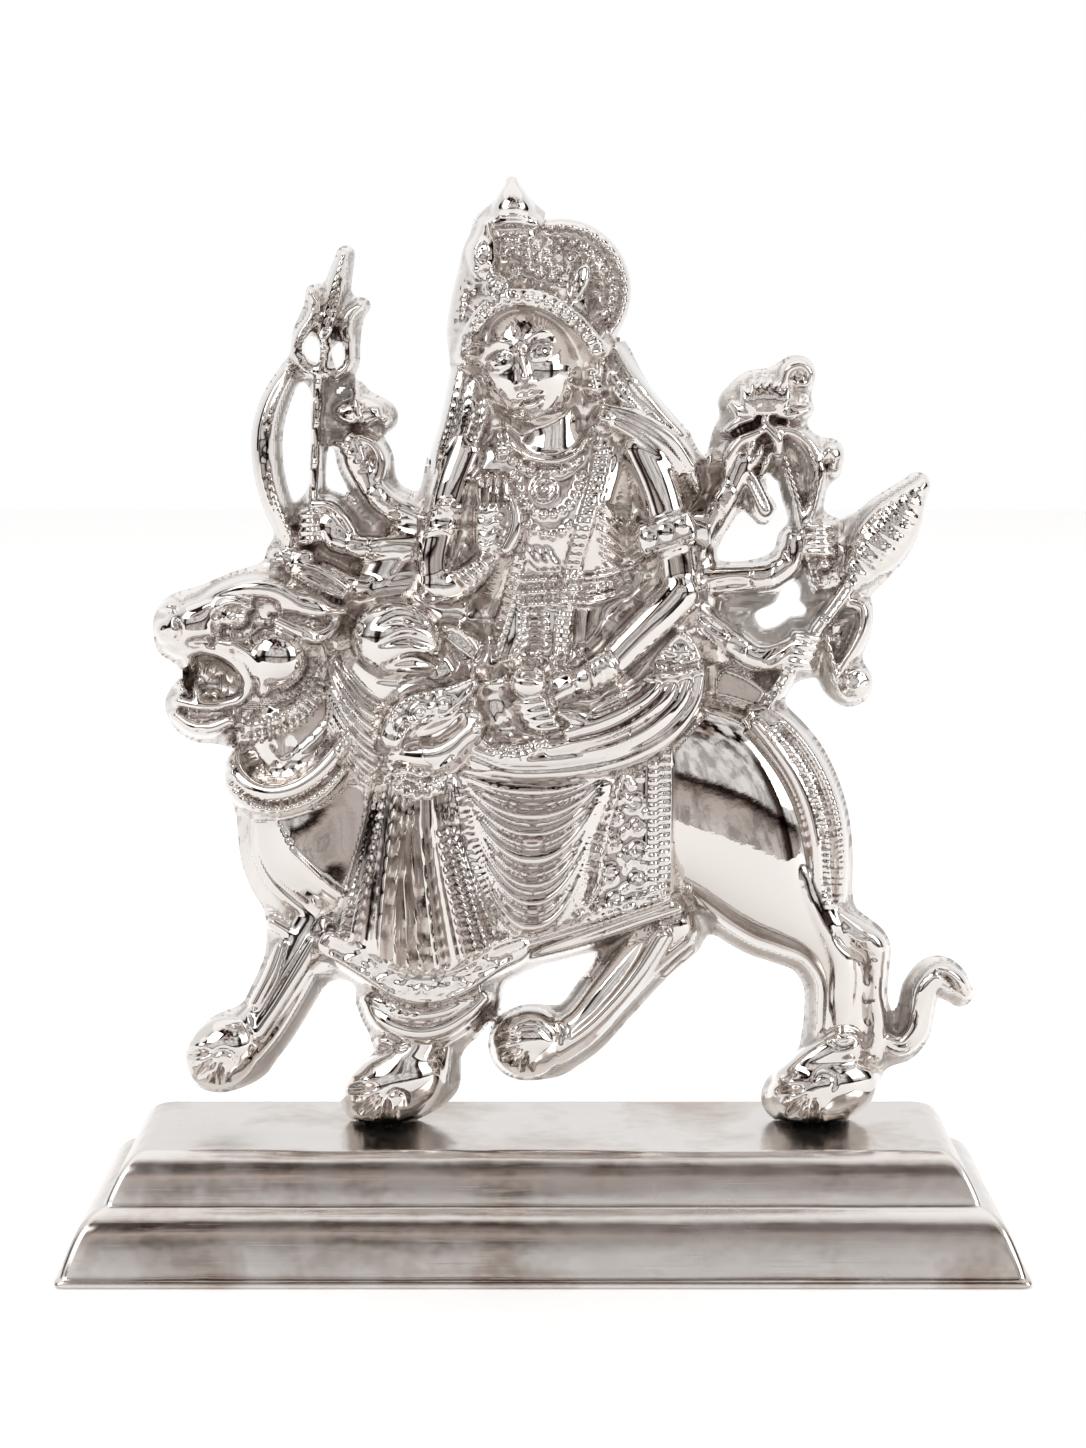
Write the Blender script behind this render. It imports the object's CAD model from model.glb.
"""A silver figure of the goddess Durga on her tiger and its stepped plinth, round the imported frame."""

from math import cos, pi, radians, sin

import bpy
import numpy as np
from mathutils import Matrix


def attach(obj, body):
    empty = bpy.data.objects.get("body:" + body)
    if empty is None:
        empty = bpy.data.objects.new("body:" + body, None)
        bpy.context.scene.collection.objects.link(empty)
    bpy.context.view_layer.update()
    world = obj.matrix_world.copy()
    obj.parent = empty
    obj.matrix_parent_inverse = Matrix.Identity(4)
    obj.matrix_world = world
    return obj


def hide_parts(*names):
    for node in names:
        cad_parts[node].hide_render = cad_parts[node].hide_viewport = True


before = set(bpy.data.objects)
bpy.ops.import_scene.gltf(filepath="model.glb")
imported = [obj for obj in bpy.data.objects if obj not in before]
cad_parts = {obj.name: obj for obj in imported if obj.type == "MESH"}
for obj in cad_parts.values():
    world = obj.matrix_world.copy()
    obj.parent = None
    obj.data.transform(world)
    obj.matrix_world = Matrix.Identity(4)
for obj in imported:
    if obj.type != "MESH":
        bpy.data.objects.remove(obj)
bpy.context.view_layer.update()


# Camera: a long lens level with the figure's shoulders and pitched down a little, as the photograph was
# taken. Its distance, height and pitch come from the plinth's perspective.
CAMERA_DISTANCE = 0.6275
CAMERA_HEIGHT = 0.196
CAMERA_PITCH = radians(7.67)
CAMERA_LENS = 74.6

camera = bpy.data.objects.new("camera", bpy.data.cameras.new("camera"))
bpy.context.scene.collection.objects.link(camera)
camera.location = (0, -CAMERA_DISTANCE, CAMERA_HEIGHT)
camera.rotation_euler = (pi / 2 - CAMERA_PITCH, 0, 0)
camera.data.lens = CAMERA_LENS
camera.data.sensor_width = 36
camera.data.clip_start = 0.01
bpy.context.scene.camera = camera


# Floor and light: a pale lit table that ends before the camera, in a room with white walls. On the camera's
# side the room is darker above the lens, has dark doorways at the sides and is mottled, and polished silver
# shows all of that as brown streaks.
TABLE_WHITE = "#ffffff"
ROOM_WHITE = "#ffffff"
ROOM_GREY = "#aea7a3"
ROOM_PINK = "#ab9a93"
ROOM_PALE = "#d8cdc7"
ROOM_NEAR_FLOOR = "#eeeae8"
ROOM_FLOOR = "#c9bfba"
ROOM_BROWN = "#5a4b46"
ROOM_DARK = "#181312"
ROOM_POWER = 1.0
TABLE_GLOW = 0.16
TABLE_SIZE = 5.0
TABLE_FRONT = 0.30
bpy.context.scene.view_settings.view_transform = "Standard"


def linear(code):
    """An sRGB hex code as linear red, green, blue and alpha: the sRGB curve undone channel by channel."""
    share = np.array([int(code[i : i + 2], 16) for i in (1, 3, 5)]) / 255
    curve = np.where(share <= 0.04045, share / 12.92, ((share + 0.055) / 1.055) ** 2.4)
    return (*(float(c) for c in curve), 1.0)


def node(tree, kind, settings=None, inputs=None, stops=None):
    """Adds one node, whose kind is named without its ShaderNode prefix. settings are its own properties,
    inputs give sockets a value or the socket that feeds them, and stops are a colour ramp's (place, hex
    colour) pairs, of which the first two are the lowest and the highest."""
    made = tree.nodes.new("ShaderNode" + kind)
    for name, value in (settings or {}).items():
        setattr(made, name, value)
    for name, value in (inputs or {}).items():
        if isinstance(value, bpy.types.NodeSocket):
            tree.links.new(value, made.inputs[name])
        else:
            made.inputs[name].default_value = value
    for i, (place, code) in enumerate(stops or []):
        band = made.color_ramp.elements
        stop = band[i] if i < 2 else band.new(place)
        stop.position = place
        stop.color = linear(code)
    return made


world = bpy.data.worlds.new("white_room")
world.use_nodes = True
bpy.context.scene.world = world
sky = world.node_tree
sky.nodes.clear()
way = node(sky, "TexCoord").outputs["Generated"]
axis = node(sky, "SeparateXYZ", inputs={"Vector": way})
wobble = node(
    sky, "TexNoise", inputs={"Vector": way, "Scale": 3.1, "Detail": 3.0, "Roughness": 0.55}
)
# The dark part above the lens: how nearly a direction points there, bent by a noise so its edge is uneven.
lean = node(
    sky, "VectorMath", settings={"operation": "DOT_PRODUCT"}, inputs={0: way, 1: (-0.17, -0.53, 0.831)}
)
bend = node(
    sky, "Math", settings={"operation": "MULTIPLY_ADD"}, inputs={0: wobble.outputs["Fac"], 1: 0.30, 2: -0.15}
)
facing = node(
    sky, "Math", settings={"operation": "ADD"}, inputs={0: lean.outputs["Value"], 1: bend.outputs[0]}
)
above_lens = node(sky, "ValToRGB", inputs={"Fac": facing.outputs[0]},
                  stops=[(0.89, ROOM_WHITE), (0.975, ROOM_DARK), (0.925, ROOM_PALE), (0.945, ROOM_PINK),
                         (0.96, ROOM_BROWN)])
# Doorways: dark upright strips at four bearings round the figure, only up to head height.
bearing = node(
    sky, "Math", settings={"operation": "ARCTAN2"}, inputs={0: axis.outputs["X"], 1: axis.outputs["Y"]}
)
turned = node(
    sky, "MapRange", inputs={"Value": bearing.outputs[0], "From Min": -pi, "From Max": pi}
)
doors = node(sky, "ValToRGB", inputs={"Fac": turned.outputs["Result"]},
             stops=[(0.10, ROOM_WHITE), (0.92, ROOM_WHITE), (0.12, ROOM_DARK), (0.155, ROOM_BROWN),
                    (0.165, ROOM_WHITE), (0.21, ROOM_WHITE), (0.23, ROOM_GREY), (0.25, ROOM_DARK),
                    (0.295, ROOM_DARK), (0.31, ROOM_WHITE), (0.66, ROOM_WHITE), (0.675, ROOM_DARK),
                    (0.725, ROOM_DARK), (0.745, ROOM_GREY), (0.775, ROOM_WHITE), (0.84, ROOM_WHITE),
                    (0.85, ROOM_DARK), (0.875, ROOM_BROWN), (0.89, ROOM_WHITE)])
head_height = node(
    sky, "MapRange", inputs={"Value": axis.outputs["Z"], "From Min": 0.70, "From Max": 0.40}
)
# Past the table's front edge lies the floor of the room, warm grey, with a dark skirting where the wall
# begins, which every rounded form shows as one crisp line.
foot_height = node(
    sky, "MapRange", inputs={"Value": axis.outputs["Z"], "From Min": -0.3, "From Max": 0.2}
)
skirting = node(sky, "ValToRGB", inputs={"Fac": foot_height.outputs["Result"]},
                stops=[(0.0, ROOM_NEAR_FLOOR), (0.71, ROOM_WHITE), (0.42, ROOM_FLOOR), (0.55, ROOM_BROWN),
                       (0.59, ROOM_DARK), (0.64, ROOM_BROWN)])
# Mottling on the camera's side only, so that what the camera sees behind the figure stays white.
mottle = node(
    sky, "TexNoise", inputs={"Vector": way, "Scale": 5.3, "Detail": 4.0, "Roughness": 0.6}
)
grey = node(
    sky, "ValToRGB", inputs={"Fac": mottle.outputs["Fac"]},
    stops=[(0.39, ROOM_DARK), (0.56, ROOM_WHITE), (0.425, ROOM_BROWN), (0.46, ROOM_GREY)],
)
front = node(
    sky, "MapRange", inputs={"Value": axis.outputs["Y"], "From Min": 0.15, "From Max": -0.35}
)
# It is fainter towards the foot of the wall.
wall_height = node(
    sky, "MapRange",
    inputs={"Value": axis.outputs["Z"], "From Min": 0.30, "From Max": 0.62, "To Min": 0.5, "To Max": 1.0},
)
mottled = node(
    sky, "Math", settings={"operation": "MULTIPLY"},
    inputs={0: front.outputs["Result"], 1: wall_height.outputs["Result"]},
)
shade = above_lens.outputs["Color"]
for share, colour in (
    (head_height.outputs["Result"], doors), (mottled.outputs[0], grey), (front.outputs["Result"], skirting)
):
    mixed = node(sky, "Mix", settings={"data_type": "RGBA", "blend_type": "MULTIPLY"})
    sky.links.new(share, mixed.inputs[0])
    sky.links.new(shade, mixed.inputs[6])
    sky.links.new(colour.outputs["Color"], mixed.inputs[7])
    shade = mixed.outputs[2]
# Looked at straight, from any side, the room is a plain white backdrop.
sight = node(sky, "LightPath").outputs["Is Camera Ray"]
seen = node(sky, "Mix", settings={"data_type": "RGBA"})
sky.links.new(sight, seen.inputs[0])
sky.links.new(shade, seen.inputs[6])
seen.inputs[7].default_value = linear(ROOM_WHITE)
glow = node(sky, "Background", inputs={"Color": seen.outputs[2], "Strength": ROOM_POWER})
node(sky, "OutputWorld", inputs={"Surface": glow.outputs[0]})

table = bpy.data.meshes.new("table")
reach = TABLE_SIZE / 2
table.from_pydata([(-reach, -TABLE_FRONT, 0), (reach, -TABLE_FRONT, 0), (reach, reach, 0),
                   (-reach, reach, 0)], [], [(0, 1, 2, 3)])
table_top = bpy.data.objects.new("table", table)
bpy.context.scene.collection.objects.link(table_top)
white = bpy.data.materials.new("backlit_white_acrylic")
white.use_nodes = True
white.node_tree.nodes["Principled BSDF"].inputs["Base Color"].default_value = linear(TABLE_WHITE)
white.node_tree.nodes["Principled BSDF"].inputs["Roughness"].default_value = 0.7
white.node_tree.nodes["Principled BSDF"].inputs["Emission Color"].default_value = linear(TABLE_WHITE)
white.node_tree.nodes["Principled BSDF"].inputs["Emission Strength"].default_value = TABLE_GLOW
table.materials.append(white)

for name, place, aim, size, power in (
    ("upper_left_panel", (-0.7, -0.5, 0.8), (0, 0, 0.12), 0.7, 4.0),
    ("right_panel", (0.9, -0.3, 0.5), (0, 0, 0.1), 0.6, 3.0),
    ("ceiling_panel", (0.0, 1.3, 1.9), (0, 1.3, 0.0), 3.0, 8.0),
):
    panel = bpy.data.objects.new(name, bpy.data.lights.new(name, "AREA"))
    panel.data.size = size
    panel.data.energy = power
    panel.location = place
    turn = np.array(place) - np.array(aim)
    panel.rotation_euler = (
        np.arctan2(np.hypot(turn[0], turn[1]), turn[2]), 0, np.arctan2(turn[1], turn[0]) + pi / 2
    )
    bpy.context.scene.collection.objects.link(panel)


# Plinth: a shallow hollow box pressed and folded from silver sheet in two steps, its faces swelling a little
# and its shoulders rolled. Mirror finish, gone slightly wavy, with fine scratches and a few shallow dents.
PLINTH_LENGTH = 200.0
PLINTH_DEPTH = 73.0
PLINTH_TOP = 24.5
PLINTH_ROLL = 2.0
TOP_HOLLOW = 0.25
# The side from the foot to the edge of the top, as (set back from the foot, height).
PLINTH_SIDE = ((1.2, 0.0), (0.35, 0.08), (0.0, 0.45), (0.0, 1.05), (0.25, 1.4), (0.75, 1.7), (1.1, 2.4),
               (1.55, 3.8), (2.2, 5.6), (2.95, 7.5), (3.8, 9.4), (4.75, 11.1), (5.7, 12.3), (6.9, 13.3),
               (8.1, 14.0), (9.0, 14.4), (9.35, 14.8), (9.7, 15.8), (10.3, 17.3), (11.1, 19.0),
               (12.0, 20.7), (13.1, 22.2), (14.4, 23.4), (15.7, 24.1), (16.8, 24.5))


def smooth_line(points, spacing=0.4, closed=False):
    """A curve through the points, sampled about every spacing mm: a cubic in each span, whose slope at a
    point is the mean of the chords beside it. Columns after the first two are carried along with it."""
    given = np.array(points, float)
    if closed:
        given = np.concatenate([given[-3:], given, given[:4]])
    place = np.concatenate([[0], np.cumsum(np.hypot(*np.diff(given[:, :2], axis=0).T))])
    slope = np.gradient(given, place, axis=0)
    start, end = (place[3], place[-4]) if closed else (0, place[-1])
    wanted = np.linspace(start, end, max(3, int((end - start) / spacing) + 2))
    i = np.clip(np.searchsorted(place, wanted, side="right") - 1, 0, len(place) - 2)
    span = (place[i + 1] - place[i])[:, None]
    t = (wanted - place[i])[:, None] / span
    return (
        (2 * t**3 - 3 * t**2 + 1) * given[i] + (t**3 - 2 * t**2 + t) * span * slope[i]
        + (3 * t**2 - 2 * t**3) * given[i + 1] + (t**3 - t**2) * span * slope[i + 1]
    )


def piece_of(name, points, faces, sharp=75):
    """A mesh object in metres from points in mm and faces of any size, smooth but for edges sharper than
    sharp degrees. faces is a list of groups, and a group's faces all have one number of corners."""
    mesh = bpy.data.meshes.new(name)
    corners = [np.asarray(group).shape[1] * np.ones(len(group), int) for group in faces if len(group)]
    corners = np.concatenate(corners)
    order = np.concatenate([np.asarray(group).ravel() for group in faces if len(group)])
    mesh.vertices.add(len(points))
    mesh.vertices.foreach_set("co", (np.asarray(points) / 1000).astype(np.float32).ravel())
    mesh.loops.add(len(order))
    mesh.loops.foreach_set("vertex_index", order.astype(np.int32))
    mesh.polygons.add(len(corners))
    mesh.polygons.foreach_set("loop_start", (np.cumsum(corners) - corners).astype(np.int32))
    mesh.update(calc_edges=True)
    mesh.validate()
    mesh.polygons.foreach_set("use_smooth", np.ones(len(mesh.polygons), bool))
    mesh.set_sharp_from_angle(angle=radians(sharp))
    made = bpy.data.objects.new(name, mesh)
    bpy.context.scene.collection.objects.link(made)
    return made


def ring_of(length, depth, roll, across_count, corner_count):
    """Points round a rounded rectangle: straight runs in even steps with a quarter circle at each corner. It
    gives each point and the outward direction there, so an offset ring keeps the corner's centre."""
    spots, outward = [], []
    half = np.array([length / 2, depth / 2]) - roll
    for i, (sx, sy) in enumerate(((1, -1), (1, 1), (-1, 1), (-1, -1))):
        start = -pi / 2 + i * pi / 2
        for turn in np.linspace(start, start + pi / 2, corner_count):
            spots.append((sx * half[0] + roll * cos(turn), sy * half[1] + roll * sin(turn)))
            outward.append((cos(turn), sin(turn)))
        nsx, nsy = ((1, 1), (-1, 1), (-1, -1), (1, -1))[i]
        run = np.linspace(0, 1, across_count[i % 2] + 2)[1:-1]
        for share in run:
            here = np.array([sx, sy]) * half * (1 - share) + np.array([nsx, nsy]) * half * share
            direction = np.array([cos(start + pi / 2), sin(start + pi / 2)])
            spots.append(tuple(here + direction * roll))
            outward.append(tuple(direction))
    return np.array(spots), np.array(outward)


def waves(x, y, z):
    """Shallow unevenness of hand-planished sheet, in mm: a few long crossed waves of different lengths."""
    return (
        0.10 * np.sin(x / 17.0 + 1.3) * np.sin(z / 6.0 + 0.4) + 0.07 * np.sin(x / 9.1 + y / 13.0 + 2.1)
        + 0.05 * np.sin(y / 7.3 - z / 4.1) + 0.035 * np.sin(x / 4.6 + z / 5.2 + y / 6.1)
    )


side = smooth_line(PLINTH_SIDE, 0.55)
spots, outward = ring_of(PLINTH_LENGTH, PLINTH_DEPTH, PLINTH_ROLL, (36, 100), 6)
count = len(spots)
# A corner's mitre: a point moves in along both axes by the set back, so each ring stays a rounded rectangle.
corner = np.array([PLINTH_LENGTH / 2, PLINTH_DEPTH / 2])
inset = side[:, 0][:, None, None]
shrink = (corner - inset) / corner
rings = spots[None] * shrink
level = np.repeat(side[:, 1][:, None], count, axis=1)
near_foot = np.clip(level / 3, 0, 1)
near_top = np.clip((PLINTH_TOP - level) / 1.5, 0, 1)
ripple = waves(rings[..., 0], rings[..., 1], level) * near_foot * near_top
rings = rings + outward[None] * ripple[..., None]
wall = np.dstack([rings, level])
# The top: rings shrinking to the middle, dished a little where the figure's weight and polishing wore it.
inner = np.linspace(1, 0.02, 20)[1:]
top = np.stack([np.column_stack([
    wall[-1, :, 0] * share,
    wall[-1, :, 1] * share,
    np.full(count, PLINTH_TOP) - TOP_HOLLOW * (1 - share**4)
    + 0.35 * waves(wall[-1, :, 0] * share, wall[-1, :, 1] * share, 0 * spots[:, 0]) * (1 - share**6),
]) for share in inner])
# Below: the folded edge turns under and the floor is closed by a flat plate just above it.
under_side = np.stack([np.column_stack([spots * (1 - step / corner), np.full(count, rise)])
                       for step, rise in ((3.0, 0.0), (3.4, 0.6), (12.0, 0.6), (24.0, 0.6), (36.0, 0.6))])
shell = np.concatenate([under_side[::-1], wall, top])
rows = len(shell)
here = np.arange(count)
after = (here + 1) % count
quads = np.concatenate([
    np.column_stack([r * count + here, r * count + after, (r + 1) * count + after, (r + 1) * count + here])
    for r in range(rows - 1)
])
lid = (np.arange(count) + (rows - 1) * count)[None]
floor_lid = np.arange(count)[::-1][None]
plinth = piece_of("stepped_plinth", shell.reshape(-1, 3), [quads, lid, floor_lid], sharp=50)

# The plinth's finish: fine silver sheet, planished and buffed by hand. The eye sees a
# mirror that is nowhere quite flat, with hair scratches along its length, a few rubbed
# patches and a warm grey tarnish low down in the folds.
SHEET_SILVER = "#dad5d1"
SHEET_TARNISH = "#b5a79d"
PLANISHING_MM = 9.0
SCRATCH_LENGTH_MM = 26.0
SCRATCH_WIDTH_MM = 0.35
SHEET_SHINIEST = 0.13
SHEET_DULLEST = 0.30

sheet = bpy.data.materials.new("buffed_silver_sheet")
sheet.use_nodes = True
tree = sheet.node_tree
shader = tree.nodes["Principled BSDF"]
where = node(tree, "TexCoord").outputs["Object"]
dents = node(tree, "TexNoise",
             inputs={"Vector": where, "Scale": 1000 / PLANISHING_MM, "Detail": 2.0, "Roughness": 0.45})
streak_map = node(
    tree, "Mapping",
    inputs={"Vector": where, "Rotation": (0.2, 0.1, 0.3),
            "Scale": (1000 / SCRATCH_LENGTH_MM, 1000 / SCRATCH_WIDTH_MM, 1000 / SCRATCH_WIDTH_MM)},
)
streaks = node(tree, "TexNoise", inputs={"Vector": streak_map.outputs[0], "Scale": 1.0, "Detail": 3.0})
hairlines = node(
    tree, "ValToRGB", inputs={"Fac": streaks.outputs["Fac"]},
    stops=[(0.62, "#000000"), (0.70, "#ffffff")],
)
rubbed = node(
    tree, "TexNoise", inputs={"Vector": where, "Scale": 1000 / 28.0, "Detail": 4.0, "Roughness": 0.6}
)
gloss = node(
    tree, "MapRange",
    inputs={"Value": rubbed.outputs["Fac"], "From Min": 0.35, "From Max": 0.7, "To Min": SHEET_SHINIEST,
            "To Max": SHEET_DULLEST},
)
tint = node(
    tree, "ValToRGB", inputs={"Fac": rubbed.outputs["Fac"]},
    stops=[(0.30, SHEET_TARNISH), (0.52, SHEET_SILVER)],
)
planished = node(
    tree, "Bump", inputs={"Height": dents.outputs["Fac"], "Strength": 0.35, "Distance": 0.0006}
)
scratched = node(
    tree, "Bump",
    inputs={"Height": hairlines.outputs["Color"], "Strength": 0.25, "Distance": 0.00003,
            "Normal": planished.outputs["Normal"]},
)
for name, source in (("Base Color", tint.outputs["Color"]), ("Roughness", gloss.outputs["Result"]),
                     ("Normal", scratched.outputs["Normal"])):
    tree.links.new(source, shader.inputs[name])
shader.inputs["Metallic"].default_value = 1.0
plinth.data.materials.append(sheet)
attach(plinth, "root")
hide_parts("plinth")


# The figure is one skin of thin silver grown in a mould, so its front has a single height for every point.
# It is built here as that height over a grid, from the back forward, and each piece is what its own forms
# raise out of those behind it. Across and up are in mm as the camera sees the plane of the thighs.
GRID_STEP = 0.44  # keeps the whole figure under a million triangles
GRID_LEFT, GRID_RIGHT = -84.0, 94.0
GRID_LOW, GRID_HIGH = -1.0, 203.0
NOWHERE = -60.0  # the height where no form is yet
# Heights are out from the back plane. The drafted edge starts at RIM_OUT and rises by DRAFT to the webs.
RIM_OUT = -1.6
WEB_OUT = 2.0
DRAFT = 1.25
SHELL_BACK = -2.5
FLANGE = 1.9  # how far the drafted edge stands out round a form
WEB_FILLET = 3.0
EDGE_FILLET = 0.5
SLOT_FILLET = 0.8
SIDE_DRIFT = 0.014  # the share of a point's distance across by which the outline is drawn in
BRIDGE_CURVE = 2.6  # radius of the widest slot that silver bridges
SLOT_DEPTH = 3.0
EDGE_DEPTH = 5.0  # how much deeper a slot may be at the outline
EDGE_REACH = 3.0  # mm over which that fades out, from 1 mm inside
ROUNDNESS = 1.15  # a form's rise over its half width, at most
WALL = 7.0  # slope of a form's side below its dome
TANGENT_FROM = 0.93  # share of the half width where the dome goes over into that side
JUST_RAISED = 0.004
# The parting plane's place in the part, the lens's distance from it and height above the plinth, and the
# height of the thighs, where points lie just where they are drawn.
PARTING_PLANE = 3.0
SET_LEFT = 0.6
SIGHT_DISTANCE = 619.5
SIGHT_HEIGHT = 171.5
THIGHS_OUT = 11
across, up = np.meshgrid(np.arange(GRID_LEFT, GRID_RIGHT, GRID_STEP),
                         np.arange(GRID_LOW, GRID_HIGH, GRID_STEP))
height = np.full(across.shape, NOWHERE)
margin = np.full(across.shape, NOWHERE)
settled = height.copy()
cells_of = {}


def soft_max(a, b, reach):
    """The larger of a and b, with a fillet where they are within reach of each other: the square of what
    reach exceeds their difference by, over four times reach, is added."""
    return np.maximum(a, b) + np.clip(reach - np.abs(a - b), 0, None) ** 2 / (4 * reach)


def dome(share, power=2.0):
    """A rounded section: (1 - share^power)^(1/power) up to TANGENT_FROM, then straight down its tangent."""
    low = (1 - TANGENT_FROM**power) ** (1 / power)
    slope = (TANGENT_FROM / low) ** (power - 1)
    top = (1 - np.clip(share, 0, TANGENT_FROM) ** power) ** (1 / power)
    return np.where(share < TANGENT_FROM, top, low - slope * (share - TANGENT_FROM))


def window(line, reach):
    """The part of the grid within reach of a line's points, as a slice of rows and columns."""
    low, high = line[:, :2].min(0) - reach, line[:, :2].max(0) + reach
    columns = np.clip(((np.array([low[0], high[0]]) - GRID_LEFT) / GRID_STEP).astype(int), 0,
                      across.shape[1] - 2)
    rows = np.clip(((np.array([low[1], high[1]]) - GRID_LOW) / GRID_STEP).astype(int), 0, across.shape[0] - 2)
    return np.s_[rows[0] : rows[1] + 2, columns[0] : columns[1] + 2]


def beside(line, reach):
    """For grid points within reach of a line: the way along it in mm, the distance off it,
    positive to its left, the distance past its ends, and whether it was reached. Each point is set
    against the tangent at its nearest sample."""
    part = window(line, reach)
    x, v = across[part], up[part]
    nearest = np.full(x.shape, -1)
    least = np.full(x.shape, np.inf)
    wide = int(reach / GRID_STEP) + 1
    for i, (px, pv) in enumerate(line[:, :2]):
        row, column = int((pv - v[0, 0]) / GRID_STEP), int((px - x[0, 0]) / GRID_STEP)
        near = np.s_[max(row - wide, 0) : max(row + wide + 2, 0),
                     max(column - wide, 0) : max(column + wide + 2, 0)]
        distance = (x[near] - px) ** 2 + (v[near] - pv) ** 2
        closer = distance < least[near]
        least[near] = np.where(closer, distance, least[near])
        nearest[near] = np.where(closer, i, nearest[near])
    way = np.gradient(line[:, :2], axis=0)
    way /= np.maximum(np.hypot(way[:, 0], way[:, 1]), 1e-9)[:, None]
    run = np.concatenate([[0], np.cumsum(np.hypot(*np.diff(line[:, :2], axis=0).T))])
    i = np.maximum(nearest, 0)
    dx, dv = x - line[i, 0], v - line[i, 1]
    along = run[i] + dx * way[i, 0] + dv * way[i, 1]
    off = dv * way[i, 0] - dx * way[i, 1]
    past = np.clip(np.maximum(-along, along - run[-1]), 0, None)
    return part, np.clip(along, 0, run[-1]), off, past, nearest >= 0, run


def raise_to(part, rise, fillet, inside=None):
    """Joins a form to the relief: the higher of the two with a fillet, and in the same way how far inside
    the mould's outline each point lies."""
    height[part] = soft_max(height[part], rise, fillet)
    if inside is not None:
        margin[part] = soft_max(margin[part], inside, WEB_FILLET)


def limb(points, fillet=0.8, flange=FLANGE, power=2.0, closed=False):
    """A rounded form along a smooth line, standing free. Each point is across, up, half width, the height
    its crown reaches and the height its sides start from; its section is a dome."""
    line = smooth_line(points, 0.4, closed)
    widest = line[:, 2].max()
    beyond = 0 if flange is None else flange + WEB_FILLET
    part, along, off, past, reached, run = beside(line, widest + 2.5 + beyond)
    half, crown, foot = (np.interp(along, run, line[:, i]) for i in (2, 3, 4))
    foot = np.maximum(foot, crown - ROUNDNESS * half)
    distance = np.hypot(off, past)
    wall = WALL * np.clip(distance - TANGENT_FROM * half, 0, None)
    rise = foot + (crown - foot) * dome(distance / half, power) - wall
    inside = None if flange is None else np.where(reached, half + flange - distance, NOWHERE)
    raise_to(part, np.where(reached, rise, NOWHERE), fillet, inside)


def ball(centre, radii, crown, foot, degrees=0.0, fillet=0.8, flange=FLANGE, power=2.0):
    """An oval boss standing free: a dome of the given radii from foot up to crown, turned in the plane."""
    beyond = 0 if flange is None else flange + WEB_FILLET
    part = window(np.array([centre], float), max(radii) * 1.5 + 2 + beyond)
    dx, dv = across[part] - centre[0], up[part] - centre[1]
    turn = radians(degrees)
    share = np.hypot((dx * cos(turn) + dv * sin(turn)) / radii[0],
                     (dv * cos(turn) - dx * sin(turn)) / radii[1])
    inside = None if flange is None else (1 - share) * min(radii) + flange
    foot = max(foot, crown - ROUNDNESS * min(radii))
    wall = WALL * min(radii) * np.clip(share - TANGENT_FROM, 0, None)
    raise_to(part, foot + (crown - foot) * dome(share, power) - wall, fillet, inside)


def lay(points, half, rise, power=2.0, closed=False, taper=0.0):
    """A small rounded ridge lying on the relief along a smooth line, added to what is there, or a groove
    where rise is negative. half is its half width, or what a point's third column is multiplied by, and
    taper is the length over which it thins out to nothing at its ends."""
    line = smooth_line(points, 0.3, closed)
    widths = half * line[:, 2] if line.shape[1] > 2 else np.full(len(line), half)
    part, along, off, past, reached, run = beside(line, widths.max() * 1.3 + 0.3)
    thin = np.clip(np.minimum(along, run[-1] - along) / taper, 0, 1) ** 0.6 if taper else 1.0
    share = np.hypot(off, past) / (np.interp(along, run, widths) * np.maximum(thin, 0.05))
    bump = np.where(reached, (1 - np.clip(share, 0, 1) ** power) ** (1 / power), 0)
    height[part] += rise * thin * bump * (height[part] > NOWHERE / 2)


def boss(centre, radii, rise, degrees=0.0, power=2.0):
    """A small oval bead or stud added to what is there."""
    part = window(np.array([centre], float), max(radii) * 1.1)
    dx, dv = across[part] - centre[0], up[part] - centre[1]
    turn = radians(degrees)
    share = np.hypot((dx * cos(turn) + dv * sin(turn)) / radii[0],
                     (dv * cos(turn) - dx * sin(turn)) / radii[1])
    bump = (1 - np.clip(share, 0, 1) ** power) ** (1 / power)
    height[part] += rise * bump * (height[part] > NOWHERE / 2)


def spaced(points, pitch, closed=False):
    """Points at about the given pitch along a smooth line, with the line's direction at each, in degrees."""
    line = smooth_line(points, 0.2, closed)
    run = np.concatenate([[0], np.cumsum(np.hypot(*np.diff(line[:, :2], axis=0).T))])
    count = max(2, round(run[-1] / pitch) + 1)
    places = np.linspace(0, run[-1], count, endpoint=not closed)
    x, v = np.interp(places, run, line[:, 0]), np.interp(places, run, line[:, 1])
    slope = np.gradient(line[:, :2], axis=0)
    turn = np.degrees(np.arctan2(np.interp(places, run, slope[:, 1]), np.interp(places, run, slope[:, 0])))
    return list(zip(x, v, turn))


def beads(points, radius=0.75, pitch=1.6, rise=None, closed=False):
    """A row of half-round beads along a smooth line, evenly spaced."""
    for x, v, _ in spaced(points, pitch, closed):
        boss((x, v), (radius, radius), radius * 1.1 if rise is None else rise)


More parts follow.
